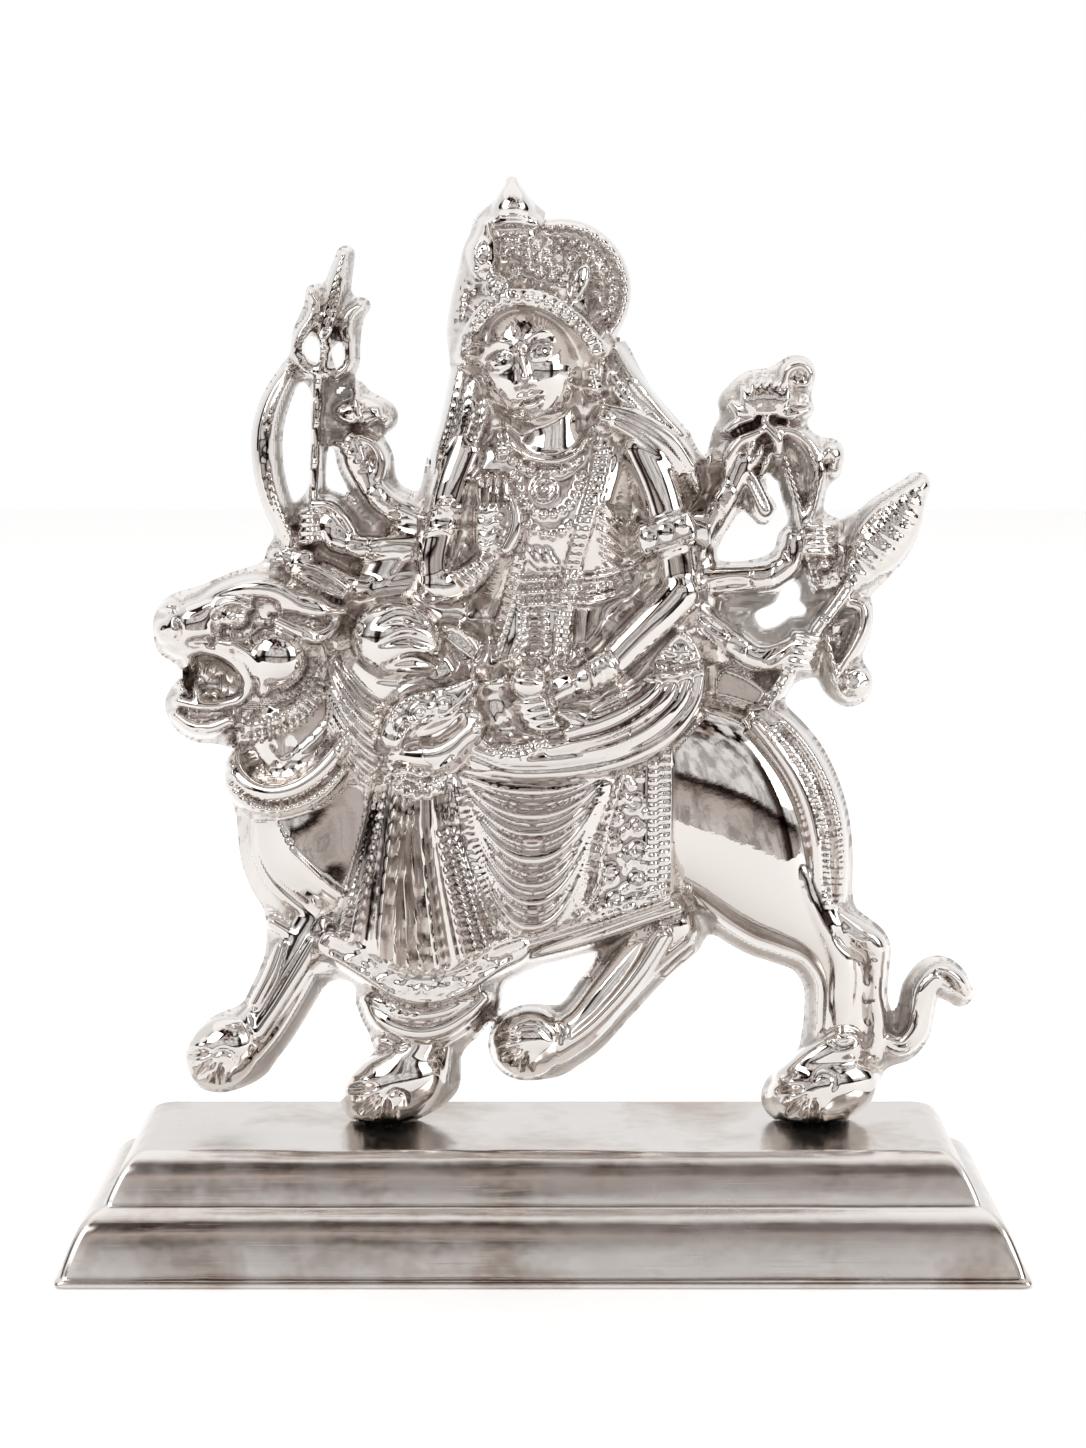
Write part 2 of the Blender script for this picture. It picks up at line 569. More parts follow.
def depth_inside(outline, reach=4.0):
    """How far inside a smooth closed outline each grid point near it lies, in mm: the distance to it, with
    its sign from counting the outline's crossings to the left of the point."""
    line = smooth_line(outline, 0.4, closed=True)
    part, along, off, past, reached, run = beside(line, reach)
    x, v = across[part], up[part]
    odd = np.zeros(x.shape, bool)
    ring = np.concatenate([line[:, :2], line[:1, :2]])
    for (x1, v1), (x2, v2) in zip(ring[:-1], ring[1:]):
        low, high = min(v1, v2), max(v1, v2)
        first = max(0, int(np.ceil((low - v[0, 0]) / GRID_STEP)))
        last = max(0, int(np.ceil((high - v[0, 0]) / GRID_STEP)))
        if last > first:
            crossing = x1 + (v[first:last, :1] - v1) * (x2 - x1) / (v2 - v1)
            odd[first:last] ^= x[first:last] > crossing
    distance = np.where(reached, np.hypot(off, past), reach)
    return part, np.where(odd, distance, -distance)


def drawn_in():
    """The mould's outline moved towards the middle of the view by a share of its distance across: the
    drafted side runs back from the forms, and the lens sees the sides that face it and not the others."""
    columns = np.clip((across[0] * (1 + SIDE_DRIFT) - GRID_LEFT) / GRID_STEP, 0, across.shape[1] - 1.001)
    whole = columns.astype(int)
    part = columns - whole
    return margin[:, whole] * (1 - part) + margin[:, whole + 1] * part


def web(outline):
    """A thin web of the skin between forms: it only widens the mould's outline over a closed outline."""
    part, inside = depth_inside(outline, 5.0)
    margin[part] = soft_max(margin[part], inside, WEB_FILLET)


def gap(outline):
    """An opening right through the skin: the mould's outline is drawn back round a closed outline."""
    part, inside = depth_inside(outline, 5.0)
    margin[part] = np.minimum(margin[part], -inside)


def on_sheet(x, v, out):
    """Points of the relief in mm of the part: a point at some height out lies on the camera's sight line
    through where it is seen, so it is drawn in towards the middle of the view in proportion."""
    scale = (SIGHT_DISTANCE + THIGHS_OUT - out) / SIGHT_DISTANCE
    rise = np.maximum(PLINTH_TOP + SIGHT_HEIGHT + (v - SIGHT_HEIGHT) * scale, PLINTH_TOP)
    return np.stack([x * scale - SET_LEFT, PARTING_PLANE - out, rise], axis=-1)


def softened(field):
    """A field evened out with its neighbours by the weights 1, 6, 1 each way."""
    pad = np.pad(field, 1, mode="edge")
    rows = (pad[:-2] + 6 * pad[1:-1] + pad[2:]) / 8
    return (rows[:, :-2] + 6 * rows[:, 1:-1] + rows[:, 2:]) / 8


def edge_height(margin):
    """The height of the bare skin: its drafted side rises evenly from the outline to the webs."""
    return -soft_max(-(RIM_OUT + DRAFT * np.clip(margin, 0, None)), -WEB_OUT, EDGE_FILLET)


def bridged(field):
    """A field closed by a parabola of radius BRIDGE_CURVE at its point: the highest surface that such a
    shape can't get under, so a narrow slot is bridged over. It is a widening then a narrowing, along each
    axis, in steps of one cell whose falls add up to the square of the distance."""
    unit = GRID_STEP**2 / (2 * BRIDGE_CURVE)
    for sign in (1, -1):
        field = sign * field
        for axis in (0, 1):
            best = np.moveaxis(field, axis, 0).copy()
            for step in range(1, int(6.0 / GRID_STEP)):
                fall = (2 * step - 1) * unit
                wider = best.copy()
                np.maximum(wider[1:], best[:-1] - fall, out=wider[1:])
                np.maximum(wider[:-1], best[1:] - fall, out=wider[:-1])
                best = wider
            field = np.moveaxis(best, 0, axis)
        field = sign * field
    return field


def cut_out(name):
    """Makes a closed piece of what the forms since the last call have raised. Its front is the relief there,
    its side runs straight back, and its hidden back is flat, in one long face for each row of the grid."""
    global height, settled
    outline = drawn_in()
    height = soft_max(height, np.where(outline > -1, edge_height(outline), NOWHERE), EDGE_FILLET)
    # The mould has no deep slots: between near forms the skin stays at most SLOT_DEPTH under the bridge.
    # Near the outline it may fall lower, down to the drafted edge.
    deeper = EDGE_DEPTH * np.clip(1 - (outline - 1) / EDGE_REACH, 0, 1)
    kept_up = bridged(np.maximum(height, RIM_OUT)) - SLOT_DEPTH - deeper
    height = np.where(outline > 0, soft_max(height, kept_up, SLOT_FILLET), height)
    fresh = np.where(height > NOWHERE / 2, softened(height), height)
    height = np.where(height > settled + JUST_RAISED, np.maximum(fresh, settled), settled)
    middle = (outline[:-1, :-1] + outline[1:, :-1] + outline[:-1, 1:] + outline[1:, 1:]) / 4
    grown = height > settled + JUST_RAISED
    cell = (grown[:-1, :-1] | grown[1:, :-1] | grown[:-1, 1:] | grown[1:, 1:]) & (middle > 0)
    for _ in range(6):
        a, b, c, d = cell[:-1, :-1], cell[:-1, 1:], cell[1:, :-1], cell[1:, 1:]
        lone = (a & d & ~b & ~c) | (b & c & ~a & ~d)
        if not lone.any():
            break
        cell[:-1, :-1] &= ~lone
        cell[:-1, 1:] &= ~lone
    rows, columns = np.nonzero(cell)
    wide = across.shape[1]
    first = rows * wide + columns
    quads = np.column_stack([first, first + 1, first + wide + 1, first + wide])
    # Edges that belong to one cell only, in the cell's own direction, are the piece's border.
    edges = np.concatenate([quads[:, [i, (i + 1) % 4]] for i in range(4)])
    key = np.sort(edges, axis=1) @ np.array([across.size, 1])
    _, where_first, times = np.unique(key, return_index=True, return_counts=True)
    border = edges[where_first[times == 1]]
    used, renamed = np.unique(quads, return_inverse=True)
    renamed = renamed.reshape(quads.shape)
    x, v, out, inside = (field.ravel()[used].copy() for field in (across, up, height, outline))
    on_border = np.isin(used, border)
    slope_v, slope_x = (field.ravel()[used] for field in np.gradient(outline, GRID_STEP))
    steep = np.maximum(slope_x**2 + slope_v**2, 0.3)
    snap = on_border & (np.abs(inside) < GRID_STEP)
    x -= np.where(snap, inside * slope_x / steep, 0).clip(-GRID_STEP * 0.7, GRID_STEP * 0.7)
    v -= np.where(snap, inside * slope_v / steep, 0).clip(-GRID_STEP * 0.7, GRID_STEP * 0.7)
    out = np.where(snap, RIM_OUT, np.maximum(out, RIM_OUT))
    back_of = np.full(across.size, -1)
    back_of[used[on_border]] = np.arange(on_border.sum()) + len(used)
    front_of = np.full(across.size, -1)
    front_of[used] = np.arange(len(used))
    walls = np.column_stack([front_of[border[:, 1]], front_of[border[:, 0]], back_of[border[:, 0]],
                             back_of[border[:, 1]]])
    marked = (back_of >= 0).reshape(across.shape)
    strips = []
    for row in np.unique(rows):
        filled = np.concatenate([[0], cell[row].astype(int), [0]])
        turns = np.nonzero(np.diff(filled))[0]
        for left, right in turns.reshape(-1, 2):
            below = np.nonzero(marked[row, left : right + 1])[0] + left + row * wide
            above = np.nonzero(marked[row + 1, left : right + 1])[0] + left + (row + 1) * wide
            strips.append(back_of[np.concatenate([below[::-1], above])])
    by_size = {}
    for strip in strips:
        by_size.setdefault(len(strip), []).append(strip)
    front = on_sheet(x, v, out)
    hidden = on_sheet(x[on_border], v[on_border], np.full(on_border.sum(), SHELL_BACK))
    made = piece_of(name, np.concatenate([front, hidden]), [renamed, walls, *by_size.values()])
    settled = height.copy()
    cells_of[name] = np.concatenate([used, used[on_border]])
    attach(made, "root")
    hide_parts("figure")


# Her three rear right arms, on the viewer's left: a sword, a trident and a disc held up in bangled hands,
# all low in the sheet and joined to each other by thin flat webs. Cast with the figure and polished.
def bangles(centre, across_arm, count, width, thick=0.42, rise=0.9, bow=0.9):
    """A stack of bangles on a wrist: short bowed ridges side by side along the arm. across_arm is the angle
    of each ridge in degrees, width half its length, and bow how far its middle bulges along the arm."""
    a = radians(across_arm)
    for i in range(count):
        shift = (i - (count - 1) / 2) * thick * 2.15
        middle = (centre[0] - sin(a) * shift, centre[1] + cos(a) * shift)
        lay([(middle[0] - cos(a) * width, middle[1] - sin(a) * width),
             (middle[0] - sin(a) * bow, middle[1] + cos(a) * bow),
             (middle[0] + cos(a) * width, middle[1] + sin(a) * width)], thick, rise)


def fingers(first, last, count, long, turn, half, crown, foot, flange=None):
    """Closed fingers seen from the knuckles: short limbs side by side from first to last, each long mm from
    knuckle to tip and turned by turn degrees."""
    a = radians(turn)
    for share in np.linspace(0, 1, count):
        x = first[0] + (last[0] - first[0]) * share
        v = first[1] + (last[1] - first[1]) * share
        limb([(x - cos(a) * long / 2, v - sin(a) * long / 2, half * 0.85, crown - 1.2, foot),
              (x, v, half, crown, foot),
              (x + cos(a) * long / 2, v + sin(a) * long / 2, half * 0.8, crown - 1.5, foot)], fillet=0.15,
             flange=flange)


web([(-22, 116), (-32, 119.5), (-40, 119.5), (-43, 124), (-36, 128), (-30, 128.5), (-26, 131), (-21, 132)])
# Sword: a curved blade with a raised spine and a bright bevel, its guard ending in two knobs.
limb([(-51.9, 160.8, 1.2, 5.5, 1), (-54.6, 156, 1.7, 6.2, 1), (-56.7, 149.5, 2.0, 6.8, 1),
      (-56.8, 142, 2.0, 7, 1), (-55.3, 135, 1.9, 7, 1), (-53, 129.5, 1.8, 7, 1), (-51, 124, 1.6, 7, 1)],
     flange=1.2, power=1.4)
lay([(-51.6, 160.2), (-54.3, 154.5), (-55.8, 146), (-55.4, 138.8), (-53.6, 132), (-50.8, 125.4)], 0.45, 0.8,
    taper=2)
lay([(-52.3, 160), (-55.3, 154.5), (-56.9, 146), (-56.4, 138.8), (-54.5, 132), (-51.8, 125.6)], 0.3, -0.7,
    taper=2)
ball((-53.2, 122.9), (2.3, 1.8), 8.5, 1, degrees=-20, flange=1.5)
ball((-49.2, 123), (2.8, 1.5), 8.8, 1, degrees=12, flange=1.5)
lay([(-54.6, 124), (-53.6, 121.6)], 0.35, -0.6)
lay([(-51, 121.7), (-49, 122.2), (-46.6, 121.4)], 0.35, -0.7)
limb([(-21, 117.2, 3.6, 8.5, 1), (-28, 116.9, 2.7, 8.8, 1), (-35, 116.4, 2.5, 9, 1),
      (-40, 117.2, 2.8, 9.2, 1), (-45, 119, 3.4, 9.6, 1), (-50, 120.8, 2.6, 9, 1)], fillet=1.0)
limb([(-50.4, 121.6, 1.0, 9.5, 4), (-45, 119.6, 1.2, 10.8, 5), (-40.5, 116.4, 1.1, 10.2, 5)], fillet=0.4,
     flange=None)
limb([(-49.5, 119, 1.0, 9.5, 4), (-45.4, 116.8, 1.3, 10.6, 5), (-41, 114.8, 1.1, 9.6, 4)], fillet=0.4,
     flange=None)
lay([(-48.6, 120.3), (-44.5, 118), (-40.5, 115.6)], 0.4, -0.8, taper=1.5)
bangles((-35.9, 116.3), 96, 4, 2.2)
# Trident: three waved prongs with a groove down each, on a thin staff through the closed hand.
limb([(-44.4, 168, 1.7, 7.5, 1), (-43, 173.5, 1.8, 7.5, 1), (-41.6, 179.5, 1.4, 7, 1),
      (-40.2, 184.6, 0.7, 5.5, 1)], flange=1.2, power=1.5)
lay([(-43.6, 168.5), (-42.3, 173.5), (-41, 179), (-39.9, 184)], 0.35, -0.9, taper=2)
lay([(-44.4, 168.5), (-43.3, 173.5), (-41.9, 179), (-40.4, 184)], 0.35, 0.6, taper=2)
left_prong = [(-45.2, 160.9), (-48.2, 162), (-49.5, 165), (-48.6, 168.6), (-46.6, 171.6), (-45.9, 174.4),
              (-46.9, 177)]
right_prong = [(-45.2, 160.9), (-42.2, 160.6), (-40.1, 162.4), (-39.7, 166), (-40, 169.6), (-38.8, 172.8),
               (-36.8, 174.4)]
for prong in (left_prong, right_prong):
    widths = np.interp(np.arange(7), [0, 2, 4, 6], [1.2, 1.3, 1.25, 0.6])
    limb([(*spot, wide, 7.0, 1) for spot, wide in zip(prong, widths)], flange=1.0, power=1.5)
    lay(prong, 0.3, -0.9, taper=2)
limb([(-44.6, 169, 1.1, 7.2, 1), (-44.4, 164.8, 1.1, 7.6, 1), (-45, 160.5, 1.1, 7, 1)], flange=0.4)
web([(-49.5, 168), (-46, 176.5), (-43, 176), (-40, 175.5), (-37.5, 172), (-40, 167), (-44, 168)])
ball((-44.3, 165.6), (1.5, 1.1), 8.8, 3, fillet=0.3, flange=None)
lay([(-46.2, 169.2), (-44.5, 167.6), (-42.6, 169.3)], 0.4, 0.8)
limb([(-45.4, 160, 1.0, 6.8, 1), (-46.1, 148, 0.95, 6.8, 1), (-46.8, 134.5, 0.95, 6.8, 1)], flange=0.75)
lay([(-45.6, 159), (-46.3, 147), (-46.9, 135.5)], 0.22, -0.5)
for v in (158.6, 150.4, 142.2, 135.6):
    bangles((-46.2 + (v - 147) * 0.06, v), 4, 1, 1.3, thick=0.4, rise=0.6, bow=0)
gap([(-48.9, 166.3), (-47.6, 168.3), (-46.2, 167), (-45.8, 164.5), (-46.4, 162.9), (-48, 163.4)])
gap([(-42.9, 165.9), (-41.8, 167), (-41.1, 165), (-41.2, 162.6), (-42.2, 161.9), (-43.1, 163.4)])
limb([(-21, 125, 3.2, 8.5, 1), (-30, 125.2, 2.7, 9, 1), (-38, 125.2, 2.9, 9, 1), (-42, 126.6, 3.2, 9.2, 1)],
     fillet=1.0)
lay([(-36, 124.7), (-30, 125.2), (-24, 124.9)], 0.8, -0.7, taper=3)
bangles((-36.9, 125.1), 92, 5, 2.9)
ball((-43.4, 129), (3.8, 3.9), 8.8, 1, fillet=1.0)
limb([(-46.8, 133.8, 1.2, 8.5, 1), (-43.6, 133.4, 1.4, 9.4, 2), (-41, 131.2, 1.4, 9.6, 2),
      (-39, 128.2, 1.4, 9, 2)], fillet=0.5, flange=1.2)
lay([(-46, 133), (-42.8, 132), (-40.6, 129), (-39.6, 126.8)], 0.35, -0.8, taper=1)
fingers((-47.4, 131.8), (-47.6, 126.4), 4, 3.4, 4, 0.95, 9.6, 3, flange=1.2)
# Disc: a toothed wheel seen nearly edge on, spinning on a raised finger.
web([(-46, 152.4), (-41, 152.6), (-40.5, 148.4), (-44, 148)])
limb([(-21.5, 129.2, 2.8, 8, 1), (-27.5, 131.8, 2.7, 8.6, 1), (-32.5, 134.4, 2.9, 9, 1),
      (-35.6, 138.6, 2.7, 9, 1), (-37.6, 143.2, 3.0, 9.4, 1), (-38.8, 146.6, 2.2, 8.8, 1)], fillet=1.0)
lay([(-31, 131.6), (-27, 130), (-23.5, 128.6)], 0.9, -0.9, taper=2)
bangles((-32.6, 134.3), 128, 4, 3.0)
limb([(-37, 147.4, 1.0, 8.6, 2), (-34.6, 146.2, 1.1, 9.2, 2), (-32.9, 143, 1.2, 9.2, 2),
      (-33.4, 139.4, 1.2, 9, 2)], fillet=0.4, flange=1.0)
fingers((-40.3, 145.8), (-37.6, 142.2), 3, 3.2, 158, 0.8, 9.9, 4)
lay([(-37.4, 140.4), (-35.6, 142.5), (-35.4, 145)], 0.5, -0.8, taper=1)
ball((-37.3, 152.8), (5.0, 2.9), 7.8, 1, flange=1.0)
lay([(-42.2, 152), (-40, 150.9), (-37.2, 150.5), (-34.4, 151), (-32.6, 152)], 0.5, 0.9)
beads([(-42.3, 150.8), (-40, 149.6), (-37.2, 149.2), (-34.6, 149.7), (-32.6, 150.9)], radius=0.55,
      pitch=1.3, rise=0.7)
lay([(-41, 153.2), (-39.6, 154.6), (-38.2, 154.2)], 0.5, -0.7, taper=0.7)
lay([(-36.2, 154.3), (-34.8, 154.6), (-33.4, 153.2)], 0.5, -0.7, taper=0.7)
limb([(-37.4, 151.8, 0.9, 8.8, 3), (-37.7, 154.8, 0.8, 8.2, 2), (-38, 157.4, 0.5, 6, 1)], fillet=0.3,
     flange=0.9)
ball((-32, 151.2), (0.9, 0.9), 6.5, 1, flange=0.8)
cut_out("rear_arms_with_sword_trident_and_disc")


# Her three rear left arms, on the viewer's right: a lotus, a bow and a mace with a beaded head. The bow's
# string and its curled limb cross the hands, and a flat web ties the mace's arm to the tiger's back.
def slab(outline, out, edge_round=0.8, fillet=0.5, flange=None, tilt=(0.0, 0.0)):
    """A flat plate over a closed outline with a rounded edge. tilt slopes it across and up."""
    part, inside = depth_inside(outline, 4.0)
    middle = np.array(outline, float)[:, :2].mean(0)
    top = out + tilt[0] * (across[part] - middle[0]) + tilt[1] * (up[part] - middle[1])
    roll = edge_round * (1 - np.sqrt(1 - np.clip(1 - inside / edge_round, 0, 1) ** 2))
    rise = top - np.where(inside > 0, roll, edge_round - 3 * inside)
    raise_to(part, rise, fillet, None if flange is None else inside + flange)


web([(30, 93), (35, 91), (44, 90), (50, 98), (58, 101), (60, 108), (52, 110.5), (44, 112), (36, 114),
     (28, 112)])
web([(28, 112), (44, 112), (50, 116), (50, 123), (40, 122), (34, 126), (28, 130)])
web([(55.5, 131), (61.5, 129.5), (65, 131), (68, 124), (72, 118.5), (66, 114.5), (58, 112), (54.5, 114),
     (53.5, 124)])
web([(47, 151), (52, 149.5), (57, 145), (58.5, 139), (56.5, 131), (52.5, 130.5), (51, 137), (48, 141),
     (45, 143)])
web([(40, 150), (36.5, 148), (35, 143), (34, 140), (41, 138), (46, 142), (46, 150)])
web([(60, 112), (68.5, 113), (68, 107), (65, 101), (60, 99), (57.5, 103)])
# Arm with the lotus.
limb([(29.5, 120, 2.8, 7.5, 1), (33, 125.5, 2.5, 8, 1), (35.8, 130.5, 2.6, 8.5, 1), (38, 134.6, 2.8, 9.2, 1),
      (40, 138.5, 2.6, 9.2, 1), (41.6, 142.5, 3.2, 9.2, 1)], fillet=1.0, flange=1.4)
lay([(34.6, 124), (36.6, 128), (37.4, 131)], 0.8, -1.0, taper=2)
lay([(31.2, 125), (33.6, 129.5)], 0.6, -0.7, taper=1.5)
bangles((37.6, 134.6), -38, 5, 3.0)
limb([(38.6, 140, 1.1, 8.8, 2), (39, 143.6, 1.3, 9.8, 2), (41.2, 146.8, 1.3, 10, 2),
      (45, 148.5, 1.1, 9.4, 2)], fillet=0.4, flange=1.5)
lay([(37.6, 141), (38, 144.6), (40.2, 147.8), (44.4, 149.6)], 0.35, -0.7, taper=1)
fingers((43.6, 145.8), (46.6, 142.2), 3, 4.2, 68, 0.8, 9.6, 4)
limb([(46.8, 149.6, 1.2, 9, 2), (48.8, 147.2, 1.4, 9.6, 2), (49.2, 144.6, 1.0, 8.8, 2)], fillet=0.3,
     flange=None)
limb([(42.6, 140.8, 1.3, 8.4, 1), (44.4, 137, 1.5, 8.6, 1), (46.4, 132.6, 1.7, 8.4, 1)], flange=1.3)
lay([(43, 140), (45, 136.4), (47, 132.4)], 0.4, -0.9, taper=1.5)
lay([(42.3, 139.4), (44, 135.8), (46, 132)], 0.3, 0.5, taper=1.5)
limb([(46.4, 152.6, 1.0, 7.5, 1), (46.2, 150, 1.2, 8, 1)], flange=1.2)
ball((46.6, 155.2), (6.0, 3.3), 7.8, 1, degrees=3, fillet=0.8, flange=1.2)
for x, top, half in ((41.8, 157.4, 1.3), (43.7, 158.8, 1.2), (45.5, 159, 1.2), (47.3, 159, 1.2),
                     (49, 158.6, 1.2), (51, 157.6, 1.2)):
    root = (46.4 + (x - 46.4) * 0.35, 152.6)
    limb([(*root, half * 0.5, 8.6, 4), (46.4 + (x - 46.4) * 0.85, 155.6, half, 9.2, 4),
          (x, top, half * 0.45, 8, 3)], fillet=0.15, flange=1.0)
    lay([root, (46.4 + (x - 46.4) * 0.85, 155.6), (x, top - 0.6)], 0.25, -0.5, taper=1)
limb([(44, 152.6, 1.0, 8, 2), (41.4, 153, 1.6, 8.4, 1), (39.6, 154.4, 0.8, 7, 1)], fillet=0.4, flange=1.0)
limb([(43.6, 151.4, 0.7, 8, 2), (40.6, 150.6, 1.1, 8.2, 1), (38.6, 149, 0.8, 7.4, 1)], fillet=0.4, flange=1.0)
limb([(49, 152.4, 1.0, 8, 2), (52.4, 152.6, 1.5, 8.2, 1), (55, 153.2, 0.8, 7, 1)], fillet=0.4, flange=1.0)
lay([(49.6, 151.8), (52.6, 153.4), (54.6, 153.6)], 0.3, -0.7, taper=1)
ball((53, 160.2), (3.1, 2.9), 7.8, 1, degrees=30, fillet=0.4, flange=1.2)
limb([(50, 158.6, 1.0, 8.4, 2), (51.2, 161.6, 1.1, 9, 3), (53.8, 162.2, 1.0, 9, 3),
      (55.4, 160.4, 0.9, 8.8, 3), (54.8, 158.4, 0.8, 8.4, 3), (53, 158.4, 0.6, 8.2, 3)], fillet=0.2,
     flange=None)
lay([(51.2, 159), (52.4, 160.9), (53.9, 160.4), (53.6, 159.4)], 0.35, -0.7, taper=0.6)
# Bow: string, upper limb with its leaf tip, the drawing hand and the lower limb with its curl.
limb([(48.8, 149.2, 1.3, 8, 1), (52.6, 148.2, 1.3, 8, 1), (55.8, 145.4, 1.4, 8, 1), (57.3, 141, 1.4, 8, 1),
      (56.6, 136, 1.3, 8, 1), (55.3, 130.8, 1.2, 8, 1)], flange=1.3)
lay([(50, 148.4), (54, 146.4), (56.3, 142.6), (56.4, 138.5), (55, 132)], 0.35, -0.9, taper=2)
lay([(50.6, 149.2), (54.9, 147), (57.5, 143), (57.5, 138.5), (56, 132)], 0.25, -0.6, taper=2)
limb([(58, 143.4, 1.0, 6.5, 1), (60.2, 144.4, 1.8, 7, 1), (60.6, 141.4, 1.3, 6.5, 1)], fillet=0.6, flange=1.2)
lay([(58.8, 146), (60.6, 143.4), (60.2, 140.8)], 0.3, 0.8, taper=0.8)
limb([(49.4, 146.5, 0.55, 6.4, 1.5), (51.4, 140.5, 0.6, 6.6, 1.5), (53.4, 134, 0.6, 6.8, 1.5),
      (54.5, 127.5, 0.6, 8, 1.5), (55.6, 121.6, 0.6, 7, 1.5), (57.2, 116, 0.5, 6, 1.5)], fillet=0.2,
     flange=1.2)
limb([(28, 117, 3.4, 8.6, 1), (35, 117.8, 3.1, 9, 1), (42, 118.4, 3.0, 9, 1), (48, 119, 3.1, 9.2, 1),
      (51.4, 121.6, 2.8, 9.2, 1), (52.4, 126.4, 2.2, 8.8, 1)], fillet=1.0)
lay([(34, 116.4), (39, 117.4), (44, 117.6)], 1.0, -0.9, taper=3)
lay([(50.8, 128.4), (50.4, 124.6), (51.6, 121.6)], 0.7, -1.0, taper=2)
bangles((46.8, 118.7), 100, 5, 3.0)
fingers((58, 129.2), (58.4, 123.8), 4, 4.4, 0, 0.95, 9.6, 2, flange=1.2)
ball((58.8, 121.4), (1.5, 1.3), 8.8, 2, fillet=0.3, flange=None)
lay([(57.4, 120.4), (58.8, 119.6), (60.4, 120.6)], 0.4, 0.8, taper=0.8)
limb([(63, 113.4, 1.4, 6.5, 1), (66.6, 112.4, 1.4, 7.2, 1), (67, 109, 1.4, 7.6, 1),
      (65.8, 105.2, 1.4, 7.8, 1), (63.6, 101.4, 1.2, 7.6, 1), (62, 98.4, 1.0, 7.4, 1)], fillet=0.8,
     flange=1.2)
lay([(66, 112.4), (65.8, 108.6), (64.4, 104.8), (62.6, 101.6)], 0.35, -0.9, taper=2)
limb([(59.6, 106.4, 0.7, 6.5, 1), (60.6, 102, 0.7, 7, 1), (61.8, 97.6, 0.8, 7.4, 1)], fillet=0.5, flange=1.2)
ball((65.2, 96.6), (3.6, 3.6), 6.8, 1, fillet=0.4, flange=1.3)
lay([(61.9, 99.4), (61.7, 96), (63.4, 93.4), (66.2, 93.2), (68.2, 95.2), (68, 98), (65.8, 99.4), (63.8, 98),
     (64, 96), (65.4, 95.2), (66.4, 96.4)], 0.5, 0.9, taper=0.8)
for turn in range(-60, 160, 24):
    a = radians(turn)
    lay([(65.2 + 2.2 * cos(a), 96.6 + 2.2 * sin(a)),
         (65.2 + 3.3 * cos(a + 0.3), 96.6 + 3.3 * sin(a + 0.3))], 0.25, -0.5)
# Mace: a two-stranded handle through the closed hand to a pine cone head set with rows of beads.
limb([(45.4, 89.4, 1.0, 8, 1), (49.2, 95, 1.5, 8.4, 1), (52.4, 100.4, 1.5, 8.4, 1)], flange=1.3)
limb([(57.4, 107.6, 1.5, 8, 1), (61.6, 113.2, 1.6, 8, 1), (65.6, 119, 1.7, 8, 1)], flange=1.3)
for line in ([(45.6, 90), (49, 95.2), (52, 100)], [(58, 108.6), (61.4, 113.2), (65, 118.6)]):
    lay(line, 0.3, -0.9, taper=1.5)
    lay([(x + 0.8, v - 0.5) for x, v in line], 0.3, 0.5, taper=1.5)
for spot in ((49.4, 95.6), (51.6, 99), (59, 109.8), (64.2, 117.2)):
    bangles(spot, -34, 1, 1.9, thick=0.55, rise=0.8, bow=0.2)
limb([(66.4, 120.8, 3.8, 7.8, 1), (69.2, 124.4, 5.6, 9.2, 1), (72, 128.2, 5.7, 9.4, 1),
      (74.8, 132, 4.6, 8.8, 1), (77, 135.2, 2.9, 8, 1), (78.8, 137.6, 1.6, 6.8, 1)], fillet=1.0, flange=1.2)
for i, (step, half) in enumerate(((0.2, 4.2), (3.2, 5.6), (6.6, 6.4), (9.8, 6.0), (12.8, 4.9), (15.6, 3.6),
                                  (18.2, 2.4))):
    x, v = 66 + 0.6 * step, 120.2 + 0.8 * step
    rib = [(x - 0.8 * half, v + 0.6 * half), (x - 0.45, v - 0.6), (x + 0.8 * half, v - 0.6 * half)]
    lay(rib, 0.4, 0.8)
    if i in (1, 2, 3, 4):
        beads([(a + 0.75, b + 1.0) for a, b in rib], radius=0.62, pitch=1.45, rise=0.8)
boss((78.4, 137), (1.0, 1.0), 0.8)
limb([(28.5, 113, 3.4, 8.6, 1), (34, 109.4, 3.2, 9.2, 1), (40, 105, 3.1, 9.4, 1), (45, 101.8, 3.0, 9.4, 1),
      (49.6, 102, 3.0, 9.4, 1), (53.6, 104, 3.0, 9.4, 1)], fillet=1.0)
lay([(32, 111.6), (36, 108.4), (39, 106.4)], 0.9, -1.0, taper=2)
lay([(31, 108.4), (35.4, 105.2), (38.6, 102.6)], 0.6, -0.7, taper=2)
bangles((41.4, 103.9), 72, 5, 3.2)
lay([(46, 101), (48.6, 103.4), (52, 106), (57, 107)], 0.4, -0.9, taper=1.5)
lay([(45.8, 99.6), (49, 100.4), (51.6, 103.4)], 0.4, 0.6, taper=1.5)
fingers((55.4, 106.2), (53.6, 100.8), 4, 5.0, -10, 0.95, 10.2, 3, flange=1.2)
slab([(34, 99.5), (44, 97.5), (47.5, 94), (46, 90.5), (40, 92.6), (35, 94)], 5.0, edge_round=0.5, fillet=0.4)
limb([(33.5, 93.6, 0.6, 6.4, 3), (39.5, 92.4, 0.6, 6.6, 3), (45.4, 90.4, 0.6, 6.6, 3)], fillet=0.3,
     flange=1.2)
gap([(49, 138.8), (47.4, 137), (49.5, 133.4), (46.3, 129.3), (43.4, 131.6), (39.6, 129), (37.4, 122.6),
     (43.2, 122.2), (49, 124.5), (50.1, 128), (51.7, 129.8), (50.7, 134.5)])
gap([(50.9, 116.3), (53.3, 117.8), (54.2, 117), (54.4, 114), (53.8, 112.3), (46.3, 108.5), (45.1, 110.8),
     (49.5, 113.8)])
